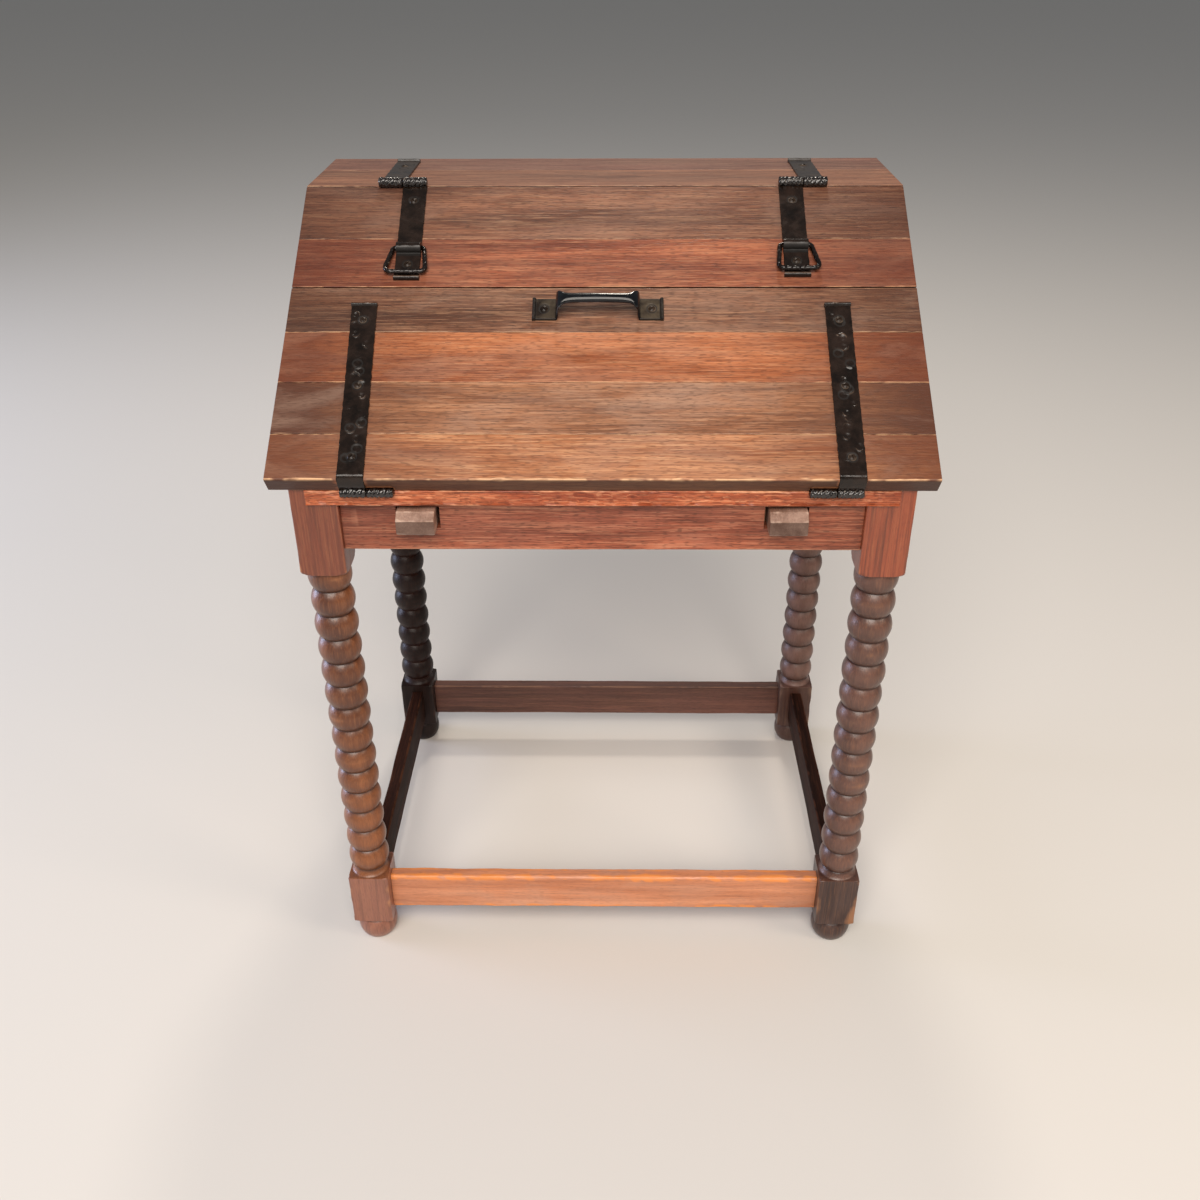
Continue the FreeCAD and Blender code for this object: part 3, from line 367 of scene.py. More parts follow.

# %% [markdown]
# ## Finish: forged iron, blackened in oil
# Wrought straps are hammered hot and quenched in oil, which leaves a brown-black skin with a soft
# sheen, rubbed brighter on its high spots and dull where dirt sits. Some of the paler high spots are
# painted glints, and some of the dark dull places are painted shade. Blackened iron no longer mirrors
# like bare metal, so it is made as a dark dielectric, with its gloss set by how much it is rubbed. The
# hammer marks are real shape, made with the mesh. Only the scale's fine pitting is bump. Real pits are
# under 1 mm. They are drawn 2.4 mm apart so that they show. The bow handle is filed smooth and bluer.

# %% The iron finishes


def oiled_iron(name, light, dark, rubbed_and_highlight, roughness, pitting=0.25, rub_and_highlight_low=0.3, sheen_level=0.4):
    """Blackened iron: paler where rubbed and where glints are painted, dark and matt where dirty and where
    shade is painted.
    """
    made, tree = blank(name)
    where = add(tree, "TexCoord", output="Object")
    worn_and_highlights = add(tree, "Attribute", output="Fac", attribute_name="worn_and_highlights")
    grime_and_shade = add(tree, "Attribute", output="Fac", attribute_name="grime_and_shade")
    clouds = add(tree, "TexNoise", {"Vector": where, "Scale": 1000.0 / 22.0, "Detail": 5.0,
                                    "Roughness": 0.65})
    pits = add(tree, "TexNoise", {"Vector": where, "Scale": 1000.0 / 2.4, "Detail": 2.0})
    rub_and_highlight = add(tree, "Math", {0: worn_and_highlights, 1: clouds}, operation="MULTIPLY")
    colour = linear(dark)
    for mark, start, full, shade in ((clouds, 0.35, 0.7, light), (rub_and_highlight, rub_and_highlight_low, 0.75, rubbed_and_highlight),
                                     (grime_and_shade, 0.0, 1.0, "#0b0604")):
        share = add(tree, "MapRange", {"Value": mark, "From Min": start, "From Max": full})
        colour = add(tree, "Mix", {0: share, 6: colour, 7: linear(shade)}, 2, data_type="RGBA")
    gloss = add(tree, "MapRange", {"Value": clouds, "From Min": 0.3, "From Max": 0.7,
                                   "To Min": roughness - 0.06, "To Max": roughness + 0.12})
    matt = add(tree, "Math", {0: grime_and_shade, 1: 0.35, 2: gloss}, operation="MULTIPLY_ADD")
    bump = add(tree, "Bump", {"Height": pits, "Strength": pitting, "Distance": 0.0004})
    shader = add(tree, "BsdfPrincipled", {"Base Color": colour, "IOR": 1.5, "Roughness": matt,
                                          "Normal": bump, "Specular IOR Level": sheen_level})
    add(tree, "OutputMaterial", {"Surface": shader})
    return made


# brown-black with a soft sheen; knuckles and rings glossier, from the fingers and the oil
STRAP_IRON = oiled_iron("iron_oil_blackened_strap", "#261810", "#0e0703", "#6f5b4c", 0.23)
KNUCKLE_IRON = oiled_iron("iron_oil_blackened_knuckle", "#140b08", "#070302", "#857a70", 0.2,
                          sheen_level=0.8)
RING_IRON = oiled_iron("iron_oil_blackened_ring", "#170e0a", "#090403", "#7b6b5e", 0.16, rub_and_highlight_low=0.4)
# dusty grey on the top, rubbed olive brown under the hand
TOP_LEAF_IRON = oiled_iron("iron_oil_blackened_top_leaf", "#362c25", "#1a1310", "#8d847b", 0.34)
PLATE_IRON = oiled_iron("iron_handle_plate_rubbed", "#44382a", "#201812", "#766a55", 0.3, rub_and_highlight_low=0.2)
# blue-black and smooth, with narrow highlights
HANDLE_IRON = oiled_iron("iron_filed_blue_black", "#15181d", "#08090c", "#8d929c", 0.14, 0.05,
                         sheen_level=0.36)
# dark brown, with a rim painted paler: rubbed, and a painted highlight
SCREW_IRON = oiled_iron("iron_screw_rusted_dark", "#33261c", "#1a120d", "#9c8a78", 0.32, rub_and_highlight_low=0.25,
                        sheen_level=0.25)
PIN_IRON = oiled_iron("iron_pin_dark", "#2a211c", "#150f0c", "#6d5d52", 0.4)
print("iron finishes:", len([m for m in bpy.data.materials if m.name.startswith("iron")]))

# %% [markdown]
# ## Boards with tired edges
# A board is a flat outline swept along its grain. A box with a bevel would be quicker, but its edge
# would be equally round everywhere, and the eye reads wear from how an arris comes and goes. Here each
# corner has its own radius that drifts along the board, with nicks where something hit it, and the
# faces wander by a few tenths of a millimetre, as planed boards do.

# %% Sweep a worn board
ARC = 4  # points round an arris


def board(corners, span, place, seed, wander=0.25, step=6.0, nicks=(), end=1.3, rough=(), seam_face=None,
          darkening=(9.0, 1.0), halo=(0.3, 1.2)):
    """Rings along a board. Corners are (a, b, radius, wear); place puts (along, a, b) in the desk.

    Nicks are (corner, along, length, depth). Rough is (corner, amount): the face after that corner is
    hacked. Under the face at height seam_face the faces are darkened, down to the depth and by the share
    in darkening, which is dirt in the joints. Halo is how much wear spreads from an arris over its faces, and
    how many mm it reaches.
    """
    low, high = span
    soft = np.array([0.0, 0.15, 0.5, 1.0]) * end
    count = max(2, int((high - low - 2 * end) / step))
    along = np.concatenate([low + soft, np.linspace(low + end, high - end, count + 1)[1:-1],
                            (high - soft)[::-1]])
    inset = np.zeros(len(along))
    inset[:4] = 0.35 * (end - np.sqrt(end ** 2 - (end - soft) ** 2))
    inset[-4:] = inset[:4][::-1]
    flat = np.array([c[:2] for c in corners], float)
    size = len(corners)
    radii = []
    for i, (_, _, radius, wear) in enumerate(corners):
        r = radius + wear * (0.5 + 0.5 * drift(along, seed * 31 + i, 130.0)) \
            + 0.35 * wear * np.clip(drift(along, seed * 17 + i, 26.0), 0, 1)
        for corner, at, length, depth in nicks:
            if corner == i:
                r = r + depth * np.exp(-((along - at) / length) ** 2)
        radii.append(np.maximum(r, 0.5 if end > 1 else 0.3) if radius > 0 else np.zeros(len(along)))
    loops, worn_and_highlights, hacked, ends = [], [], [], []
    for i in range(size):
        here, before, after = flat[i], flat[i - 1], flat[(i + 1) % size]
        u, w = before - here, after - here
        lu, lw = np.linalg.norm(u), np.linalg.norm(w)
        u, w = u / lu, w / lw
        if corners[i][2] == 0:
            ends.append((np.broadcast_to(here, (len(along), 1, 2)), 0.0))
            continue
        half = math.acos(np.clip(u @ w, -1, 1)) / 2
        reach = np.minimum(radii[i] / math.tan(half), 0.45 * min(lu, lw))
        r = reach * math.tan(half)
        middle = (u + w) / np.linalg.norm(u + w)
        centre = here + middle * (r / math.sin(half))[:, None]
        start, finish = here + u * reach[:, None], here + w * reach[:, None]
        ring = []
        for t in np.linspace(0, 1, ARC):
            way = (start - centre) * (1 - t) + (finish - centre) * t
            ring.append(centre + way / np.linalg.norm(way, axis=1)[:, None] * r[:, None])
        ends.append((np.stack(ring, 1), 1.0))
    for i in range(size):
        arc, mark = ends[i]
        follow, next_mark = ends[(i + 1) % size]
        loops.append(arc)
        worn_and_highlights += [mark * min(1.0, corners[i][3] + 0.25)] * arc.shape[1]
        hacked += [0.0] * arc.shape[1]
        length = np.linalg.norm(flat[(i + 1) % size] - flat[i])
        shares = []
        if length > 14:
            even = list(np.linspace(0, 1, max(2, int(length / 11)) + 1)[1:-1])
            shares = [0.7 / length, 6.0 / length] + even + [1 - 6.0 / length, 1 - 0.7 / length]
            shares = sorted(s for s in set(shares) if 0 < s < 1)
        elif length > 5:
            shares = [0.3, 0.7]
        depth = dict(rough).get(i, 0.0)
        for share in shares:
            loops.append(arc[:, -1:] * (1 - share) + follow[:, :1] * share)
            near = mark * math.exp(-share * length / halo[1]) \
                + next_mark * math.exp(-(1 - share) * length / halo[1])
            worn_and_highlights.append(halo[0] * near + 0.12 * depth)
            hacked.append(depth)
    rings = np.concatenate(loops, 1)
    worn_and_highlights, hacked = np.array(worn_and_highlights), np.array(hacked)
    following = np.roll(rings, -1, 1)
    tangent = following - np.roll(rings, 1, 1)
    normal = np.stack([tangent[..., 1], -tangent[..., 0]], -1)
    normal /= np.linalg.norm(normal, axis=-1)[..., None] + 1e-9
    area = (rings[:, :, 0] * following[:, :, 1] - rings[:, :, 1] * following[:, :, 0]).sum(1)
    normal *= np.sign(area)[:, None, None]
    run = np.broadcast_to(along[:, None], rings.shape[:2])
    probe = np.stack([run, rings[..., 0], rings[..., 1]], -1)
    shift = wander * np.minimum(drift(probe, seed * 7 + 3, 160.0) - 1.0, 0) * 0.5
    shift = shift - hacked * np.clip(0.5 + drift(probe * [0.5, 1, 1], seed * 5 + 1, 15.0)
                                     + 0.5 * drift(probe * [0.7, 1, 1], seed * 5 + 2, 6.0), 0, 1.6)
    rings = rings + normal * (shift - inset[:, None])[..., None]
    points = place(run, rings[..., 0], rings[..., 1])
    patchy = 0.72 + 0.4 * drift(probe, seed * 3 + 2, 70.0) + 0.35 * drift(probe, seed * 3 + 4, 11.0)
    mark = worn_and_highlights[None, :] * np.clip(patchy, 0, 1.3)
    mark[1:4] = np.maximum(mark[1:4], 0.35)
    mark[-4:-1] = np.maximum(mark[-4:-1], 0.35)
    mark[[0, -1]] = 0.0
    all_points, faces = skin(points)
    deep = (rings[..., 1].max() if seam_face is None else seam_face) - rings[..., 1]
    grime_and_shade = np.clip((deep - 0.3) / 0.7, 0, 1) * (deep < darkening[0]) * (seam_face is not None) * darkening[1]
    return all_points, faces, mark.reshape(-1), grime_and_shade.reshape(-1)


def across(run, a, b):
    """A board along X with its outline in depth and height."""
    return np.stack([run, a, b], -1)


def front_to_back(run, a, b):
    """A board along Y with its outline in width and height."""
    return np.stack([a, run, b], -1)


bar = board([(0, 0, 1, 0), (9, 0, 1, 0), (9, 9, 1, 0)], (0, 60), across, 1)
print("points of a small three-cornered bar:", len(bar[0]))

# %% [markdown]
# ## The fall: four boards, tongue and groove
# The fall is the sloping flap that opens to make the writing surface. Its boards meet in shallow V
# joints, which gather dirt beside pale rubbed arrises. The lip board is the most worn: hands lift it
# and sleeves rub it. Each board gets its own outline, finish and seed, so no two match.

# %% Fall and lid boards
SEAMS = [0.0, 64.0, 138.0, 213.5, 282.3]
LID_SEAMS = [283.8, 362.3, 452.13]
TONGUE, MID, CHEEK, SLACK = 6.0, -LEAF / 2, 3.0, 0.15  # length, middle, half thickness, play
SIDE = {"left": -1, "right": 1}
LOWER_MIDDLE = {"left": -278.0, "right": 277.0}  # where the two halves of each hinge meet
UPPER_MIDDLE = {"left": -266.6, "right": 262.6}
GAIN_HALF, BEND = 32.4, 11.0  # half length of a knuckle's gain, depth of the bend's cut in the lip


def leaf_corners(low, high, groove, tongue, lip=False, undercut=0.0, plumb=False):
    """The outline of a sloping board in (s, n), with tongue and groove."""
    corners = [(low, 0, 1.85, 0.8) if lip else (low, 0, 0.6, 0.5)]
    if plumb:
        corners += [(high, 0, 0.6, 0.3), (high - LEAF * math.tan(SLOPE), -LEAF, 0.8, 0.2)]
    else:
        corners.append((high, 0, 0.6, 0.5))
        if tongue:
            corners += [(high, MID + CHEEK, 0, 0), (high + TONGUE, MID + CHEEK, 0, 0),
                        (high + TONGUE, MID - CHEEK, 0, 0), (high, MID - CHEEK, 0, 0)]
        corners.append((high, -LEAF, 1.0, 0.3))
    corners.append((low + undercut, -LEAF, 1.0, 0.5))
    if groove:
        reach, floor, roof = TONGUE + SLACK, MID - CHEEK - SLACK, MID + CHEEK + SLACK
        corners += [(low, floor, 0, 0), (low + reach, floor, 0, 0), (low + reach, roof, 0, 0),
                    (low, roof, 0, 0)]
    return corners


def rod_cutter(x0, x1, centre, radius, sides=40):
    """A many-sided bar along X, for cutting."""
    turn = np.linspace(0, 2 * math.pi, sides, endpoint=False)
    rings = np.stack([np.stack([np.full(sides, x), centre[0] + radius * np.cos(turn),
                                centre[1] + radius * np.sin(turn)], -1) for x in (x0, x1)])
    return skin(rings)


def block_cutter(x0, x1, y0, y1, z0, z1):
    """A plain block, for cutting."""
    rings = np.array([[(x, y0, z0), (x, y1, z0), (x, y1, z1), (x, y0, z1)] for x in (x0, x1)], float)
    return skin(rings)


def bend_cutter(x0, x1):
    """The corner of the lip that makes room for a strap's soft bend."""
    turn = np.linspace(0, math.pi / 2, 12)
    s = np.concatenate([BEND - (BEND - 0.2) * np.cos(turn), [BEND, -1.0, -1.0]])
    n = np.concatenate([(BEND - 0.2) * np.sin(turn) - BEND, [1.0, 1.0, -BEND]])
    return skin(np.stack([on_slope(x, s, n) for x in (x0, x1)]))


LOWER_GAINS = [rod_cutter(x - GAIN_HALF, x + GAIN_HALF, LOWER_PIN, 6.6) for x in LOWER_MIDDLE.values()]
UPPER_GAINS = [rod_cutter(x - GAIN_HALF, x + GAIN_HALF, UPPER_PIN, 7.2) for x in UPPER_MIDDLE.values()]
BENDS = [bend_cutter(*sorted((x - SIDE[name] * 0.05, x + SIDE[name] * 32.3)))
         for name, x in LOWER_MIDDLE.items()]
CHIPS = [(0, -120.0, 5.0, 2.2), (0, 96.0, 4.0, 1.6), (0, 236.0, 7.0, 1.8)]  # along the lip
for i, finish in enumerate(("fall_lip_board", "fall_third_board", "fall_second_board", "fall_top_board")):
    lip = i == 0
    outline = leaf_corners(SEAMS[i], SEAMS[i + 1], i > 0, i < 3, lip=lip)
    # the lip board is darkened down its whole end face, 23 mm deep, not only in its joint
    shell = board(outline, (-PANEL_HALF, PANEL_HALF), on_slope, 40 + i, nicks=CHIPS if lip else [],
                  seam_face=0.0, darkening=(23.0, 0.9) if lip else (9.0, 1.0))
    made = piece("fall_board_%d" % (i + 1), "fall", [shell], WOODS[finish],
                 ["fall_plank_%d" % (i + 1)])
    if lip:
        carve(made, LOWER_GAINS + BENDS)
for i, where in enumerate(("lower", "upper")):
    outline = leaf_corners(LID_SEAMS[i], LID_SEAMS[i + 1], i == 1, i == 0, undercut=3.5 if i == 0 else 0.0,
                           plumb=i == 1)
    shell = board(outline, (-PANEL_HALF, PANEL_HALF), on_slope, 50 + i, seam_face=0.0)
    made = piece("lid_board_" + where, "lid", [shell], WOODS["lid_%s_board" % where],
                 ["lid_plank_" + where])
    if i == 1:
        carve(made, UPPER_GAINS)

# %% [markdown]
# ## Case: top, bed, sides and back
# The case is a box of broad boards. Its front edge, the end of the bed boards, was hacked with a
# gouge near the hinges and rubbed to bright red wood. That roughness is shape: the face there is
# pushed in by quick uneven waves. A texture alone would stay flat against the light.

# %% Case boards
CASE_HALF, SEAM_Y = 354.0, BACK_Y - 85.2
PLATE_Z, PLATE_LONG = 755.3, 46.2  # floor and depth of the seats for the leaves in the bed
CHEEK_LOW, CHEEK_HIGH = TOP_UNDER + 7.0, TOP_UNDER + 13.0
top_front = [(CREASE_Y, TOP_UNDER, 0.8, 0.2), (SEAM_Y, TOP_UNDER, 0, 0), (SEAM_Y, CHEEK_LOW, 0, 0),
             (SEAM_Y + TONGUE, CHEEK_LOW, 0, 0), (SEAM_Y + TONGUE, CHEEK_HIGH, 0, 0),
             (SEAM_Y, CHEEK_HIGH, 0, 0), (SEAM_Y, TOP_Z, 0.6, 0.4), (CREASE_Y, TOP_Z, 0.7, 0.6)]
top_back = [(SEAM_Y, TOP_UNDER, 0, 0), (BACK_Y, TOP_UNDER, 1.0, 0.6), (BACK_Y, TOP_Z, 1.4, 1.1),
            (SEAM_Y, TOP_Z, 0.6, 0.4), (SEAM_Y, CHEEK_HIGH + SLACK, 0, 0),
            (SEAM_Y + TONGUE + SLACK, CHEEK_HIGH + SLACK, 0, 0),
            (SEAM_Y + TONGUE + SLACK, CHEEK_LOW - SLACK, 0, 0), (SEAM_Y, CHEEK_LOW - SLACK, 0, 0)]
for which, outline, seed in (("front", top_front, 60), ("back", top_back, 61)):
    node, finish = "top_board_" + which, WOODS["top_%s_board" % which]
    shell = board(outline, (-PANEL_HALF, PANEL_HALF), across, seed, seam_face=TOP_Z)
    made = piece(node + "_worn", "stand_and_case", [shell], finish, [node])
    if which == "front":
        carve(made, UPPER_GAINS)

BED_WIDTH = (BACK_INNER - BED_FRONT) / 3
HACKS = [(3, -330.0, 12.0, 3.0), (3, -236.0, 9.0, 2.4), (3, 222.0, 10.0, 2.6), (0, -200.0, 14.0, 2.2),
         (3, 60.0, 5.0, 1.8), (0, 150.0, 9.0, 1.6)]  # along the bed's front edge
for i in range(3):
    y0 = BED_FRONT + i * BED_WIDTH
    first = i == 0
    outline = [(y0, BED_UNDER, 0.8 if first else 0.3, 0.3 if first else 0.1),
               (y0 + BED_WIDTH, BED_UNDER, 0.3, 0.1), (y0 + BED_WIDTH, BED_Z, 0.5, 0.3),
               (y0, BED_Z, 1.2 if first else 0.5, 0.5 if first else 0.3)]
    shell = board(outline, (-CASE_HALF, CASE_HALF), across, 64 + i, nicks=HACKS if first else [],
                  step=3.0 if first else 8.0, rough=[(3, 1.5)] if first else [])
    made = piece("bed_board_%d_worn" % (i + 1), "stand_and_case", [shell], WOODS["bed_red_stain"],
                 ["bed_board_%d" % (i + 1)])
    if first:
        leaf_beds = [block_cutter(*sorted((x, x - SIDE[name] * 32.2)), BED_FRONT - 3.0,
                                  BED_FRONT + PLATE_LONG, PLATE_Z, 762.0)
                     for name, x in LOWER_MIDDLE.items()]
        carve(made, LOWER_GAINS + leaf_beds)
print("bed boards, each", round(BED_WIDTH, 1), "mm wide")

# %% Case sides, back and rail
SHY, BACK_SEAM = 0.36, 875.3  # how far the sides stay under the slope, height of the back's joint
slope_foot = CORNER[1] + NOSE * math.tan(SLOPE) - SHY
slope_head = CORNER[1] + (CREASE_Y - BED_FRONT) * math.tan(SLOPE) - SHY
side_outline = [(FRONT_Y, BED_Z), (FRONT_Y + 2 * HALF, BED_Z), (FRONT_Y + 2 * HALF, BED_UNDER),
                (BACK_Y, BED_UNDER), (BACK_Y, TOP_UNDER), (CREASE_Y, TOP_UNDER), (CREASE_Y, slope_head),
                (FRONT_Y, slope_foot)]
corners = [(y, z, 0.9, 0.6) if k in (3, 4) else (y, z, 0.3, 0.1) for k, (y, z) in enumerate(side_outline)]
for name, side in SIDE.items():
    span = sorted((side * CASE_HALF, side * (CASE_HALF + BOARD)))
    piece("case_side_%s_worn" % name, "stand_and_case", [board(corners, span, across, 70 + side, end=0.8)],
          WOODS["case_side"], ["case_side_" + name])
rail = [(CREASE_Y, TOP_UNDER - 40, 1.2, 0.5), (CREASE_Y + BOARD, TOP_UNDER - 40, 1.2, 0.4),
        (CREASE_Y + BOARD, TOP_UNDER, 0.6, 0.1), (CREASE_Y, TOP_UNDER, 0.6, 0.1)]
lower, upper = ([(BACK_INNER, z0, 0.8, 0.3), (BACK_Y, z0, 1.2, 0.6), (BACK_Y, z1, 1.2, 0.6),
                 (BACK_INNER, z1, 0.8, 0.3)] for z0, z1 in ((BED_UNDER, BACK_SEAM), (BACK_SEAM, TOP_UNDER)))
for node, corners, seed in (("back_board_lower", lower, 73), ("back_board_upper", upper, 74),
                            ("top_rail", rail, 76)):
    shell = board(corners, (-CASE_HALF, CASE_HALF), across, seed, step=9.0)
    piece(node + "_worn", "stand_and_case", [shell], WOODS["case_back"], [node])

# %% [markdown]
# ## Aprons, stretchers and lopers
# The rails that tie the legs are plain boards, worn where shoes and knees meet them: the front
# stretcher's top arris is rounded like a pebble. The front apron has a slot for each loper, cut a
# little too wide on its inner side. The lopers are pale: they slide out of the dark and were never
# stained on top.

# %% Rails
MIDDLE_Y = (LEG_Y["front"] + LEG_Y["back"]) / 2
SPANS = {"X": (-316.0, 316.0), "Y": (MIDDLE_Y - 215.5, MIDDLE_Y + 215.5)}
HEIGHTS = {"apron": (673.0, BED_UNDER), "stretcher": (54.5, 115.0)}
LOPER_IN, LOPER_OUT, SLOT_LOW, SLOT_TOP = 200.5, 246.5, 703.0, 732.2
SCUFF_X, SCUFF_Z, SCUFF_WIDE, SCUFF_TALL = -300.0, 717.0, 6.0, 17.0  # a knee or a chair rubbed here
RAILS = (
    # name, along, middle, finish, outer arris, other arris
    ("apron_front", "X", FRONT_Y + 17.5, "apron_red_stain", 2.0, 0.8),
    ("apron_back", "X", BACK_Y - 17.5, "apron_red_stain", 1.2, 0.8),
    ("apron_left", "Y", -356.5, "side_apron", 1.4, 0.8),
    ("apron_right", "Y", 356.5, "side_apron", 1.4, 0.8),
    ("stretcher_front", "X", LEG_Y["front"], "front_stretcher", 4.5, 3.0),
    ("stretcher_back", "X", LEG_Y["back"], "back_stretcher", 2.0, 2.0),
    ("stretcher_left", "Y", -LEG_X, "side_stretcher", 2.4, 2.4),
    ("stretcher_right", "Y", LEG_X, "side_stretcher", 2.4, 2.4),
)
for k, (name, along, middle, finish, outer, other) in enumerate(RAILS):
    kind = name.split("_")[0]
    (z0, z1), a0, a1 = HEIGHTS[kind], middle - BOARD / 2, middle + BOARD / 2
    low_arris = outer if kind == "apron" else other
    corners = [(a0, z0, low_arris * 0.6, low_arris * 0.5), (a1, z0, low_arris * 0.6, low_arris * 0.5),
               (a1, z1, other * 0.7, other * 0.6), (a0, z1, outer * 0.7, outer * 0.6)]
    shell = board(corners, SPANS[along], across if along == "X" else front_to_back, 80 + k, wander=0.5,
                  end=0.4, halo=(0.9, 6.0) if name == "stretcher_front" else (0.3, 1.2))
    if name == "apron_front":
        points, faces, worn_and_highlights, grime_and_shade = shell
        scuff = np.exp(-((points[:, 0] - SCUFF_X) / SCUFF_WIDE) ** 2
                       - ((points[:, 2] - SCUFF_Z) / SCUFF_TALL) ** 2)
        shell = (points, faces, np.maximum(worn_and_highlights, 0.72 * scuff * (points[:, 1] < a0 + 1.0)), grime_and_shade)
    made = piece(name + "_worn", "stand_and_case", [shell], WOODS[finish], [name])
    if name == "apron_front":
        carve(made, [block_cutter(s * (LOPER_IN - 4.5), s * (LOPER_OUT + 2.5), FRONT_Y - 5, FRONT_Y + 40,
                                  SLOT_LOW, SLOT_TOP) for s in SIDE.values()])
print("rails:", len(RAILS))

# %% Lopers
TIP_Y, LOPER_LONG = FRONT_Y - 14.5, 330.0
LOPER_LOW, LOPER_TOP, BEVEL_LONG, BEVEL_DEEP = 703.5, 731.7, 10.0, 8.8


def refinish(names, material):
    """Give CAD nodes that need no wear a finish of this scene."""
    for node in names:
        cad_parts[node].data.materials.clear()
        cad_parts[node].data.materials.append(material)


for name, side in SIDE.items():
    profile = [(TIP_Y, LOPER_LOW, 2.2, 1.0), (TIP_Y + LOPER_LONG, LOPER_LOW, 1.2, 0.6),
               (TIP_Y + LOPER_LONG, LOPER_TOP, 1.4, 0.8), (TIP_Y + BEVEL_LONG, LOPER_TOP, 1.6, 1.6),
               (TIP_Y, LOPER_TOP - BEVEL_DEEP, 1.2, 1.2)]
    points, faces, worn_and_highlights, _ = board(profile, sorted((side * LOPER_IN, side * LOPER_OUT)), across, 92 + side,
                                   wander=0.5, end=2.2, step=3.0)
    # the blunt front end below the bevel is painted darker, as shade on an upright face lit from above
    shell = (points, faces, worn_and_highlights, 0.68 * (points[:, 1] < TIP_Y + 1.2) * (points[:, 2] < LOPER_TOP - 9.5))
    piece("loper_%s_worn" % name, "loper_" + name, [shell], WOODS["loper_bare"],
          ["loper_" + name])
refinish(["loper_%s_%s" % (part, name) for part in ("runner", "stop") for name in SIDE],
         WOODS["runner_unfinished"])
print("lopers stand", round(FRONT_Y - TIP_Y, 1), "mm ahead of the legs")

# %% [markdown]
# ## Bobbin-turned legs
# Each leg starts as a square bar. The turner leaves it square where rails join, and cuts the rest into
# a bun foot and a string of round bobbins. A lathe modifier would make the round parts but not the
# square ones, so each ring here takes the smaller of two radii: the turned profile and the square bar.
# That is what the lathe does, and it gives the curved shoulders of the blocks by itself. Bobbins
# differ a little, because a turner spaces and sizes them by eye.

# %% Turn the legs
BLOCK_CORNER = 42.01  # the square bar's reach at its corners, which the lathe just touches
PITCH, BOBBIN, BOBBIN_ARC = 36.3, 28.3, 29.3  # spacing, radius, radius of the arc along a bobbin
BLOCK_LOW, BLOCK_TOP, BEADS, UPPER_BLOCK = 41.6, 128.4, 138.0, 639.5
LEG_TOP = {"front": 758.2, "back": BED_UNDER}
TOE_Z, TOE_TURN = 52.0, 306.0  # height and direction of the most rubbed corner
SHOULDER = (0.0, 0.02, 0.1, 0.25, 0.5, 0.75, 1.0)
BOBBIN_ROWS = (0.0, 0.02, 0.055, 0.11, 0.19, 0.29, 0.4, 0.5, 0.6, 0.71, 0.81, 0.89, 0.945, 0.98)


def square_reach(turn, arris):
    """Distance from the axis to a rounded square's edge, in each direction."""
    c, s = np.abs(np.cos(turn)), np.abs(np.sin(turn))
    reach = HALF / np.maximum(c, s)
    core = HALF - arris
    inside = (reach * c > core) & (reach * s > core)
    dot = core * (c + s)
    rounded = dot + np.sqrt(np.maximum(dot ** 2 - (2 * core ** 2 - arris ** 2), 0))
    return np.where(inside, rounded, reach)


def block_profile(low, high, lower, upper):
    """Heights and radii where the bar stays square, with turned shoulders of two sizes at its ends."""
    drop = [1 - math.sqrt(1 - (1 - t) ** 2) for t in SHOULDER]
    up = [(low + t * lower, BLOCK_CORNER - lower * d) for t, d in zip(SHOULDER, drop)]
    down = [(high - t * upper, BLOCK_CORNER - upper * d) for t, d in zip(SHOULDER, drop)]
    middle = np.linspace(low + lower, high - upper, 10)[1:-1]
    return [(z, r, 0.0, 0.0) for z, r in up + [(z, BLOCK_CORNER) for z in middle] + down[::-1]]


def leg_profile(draw, top):
    """(height, radius, grime and painted shade, worn and painted light) up the leg."""
    profile = [(0.0, 19.5, 0.5, 0.0), (0.6, 21.4, 0.4, 0.2)]
    for z in np.linspace(2.5, 34.5, 15):  # the bun foot
        profile.append((z, 28.8 * math.sqrt(1 - ((z - 21.0) / 31.0) ** 2), 0.0, 0.35))
    # the fillets round the foot and the blocks are dark: dirt and painted shade
    profile += [(36.0, 24.6, 0.9, 0.0), (37.2, 25.8, 0.2, 0.2), (39.4, 26.8, 0.0, 0.4),
                (41.0, 26.4, 0.3, 0.1), (BLOCK_LOW, 25.8, 0.9, 0.0)]
    profile += block_profile(BLOCK_LOW, BLOCK_TOP, 6.0, 6.0)
    profile += [(BLOCK_TOP, 28.0, 0.5, 0.0), (129.4, 26.6, 0.1, 0.2), (131.5, 25.2, 0.0, 0.2),
                (134.5, 23.4, 0.2, 0.0), (137.4, 22.5, 0.8, 0.0)]
    level = BEADS
    while level < UPPER_BLOCK - 0.5:
        big = BOBBIN + draw.uniform(-0.35, 0.35)
        for t in BOBBIN_ROWS:
            z = level + t * PITCH
            if z > UPPER_BLOCK - 0.1:
                break
            r = big - BOBBIN_ARC + math.sqrt(BOBBIN_ARC ** 2 - ((t - 0.5) * PITCH) ** 2)
            # dirt and painted shade in the grooves; the lower half of each bobbin is painted darker as shade,
            # and its upper belly paler, partly rubbed and partly painted light from above
            dark = math.exp(-min(t, 1 - t) / 0.05) + 0.6 * max(0.0, 0.55 - t) / 0.55
            profile.append((z, r, min(1.0, dark), 0.6 * max(0.0, 1 - abs(t - 0.62) / 0.45)))
        level += PITCH
    return profile + block_profile(UPPER_BLOCK, top, 10.0, 1.0)


def leg_places(turn, z, scale):
    """Places on a leg for noise, from a direction in radians and a height."""
    return np.stack(np.broadcast_arrays(z[:, None], turn[None] * scale), -1)


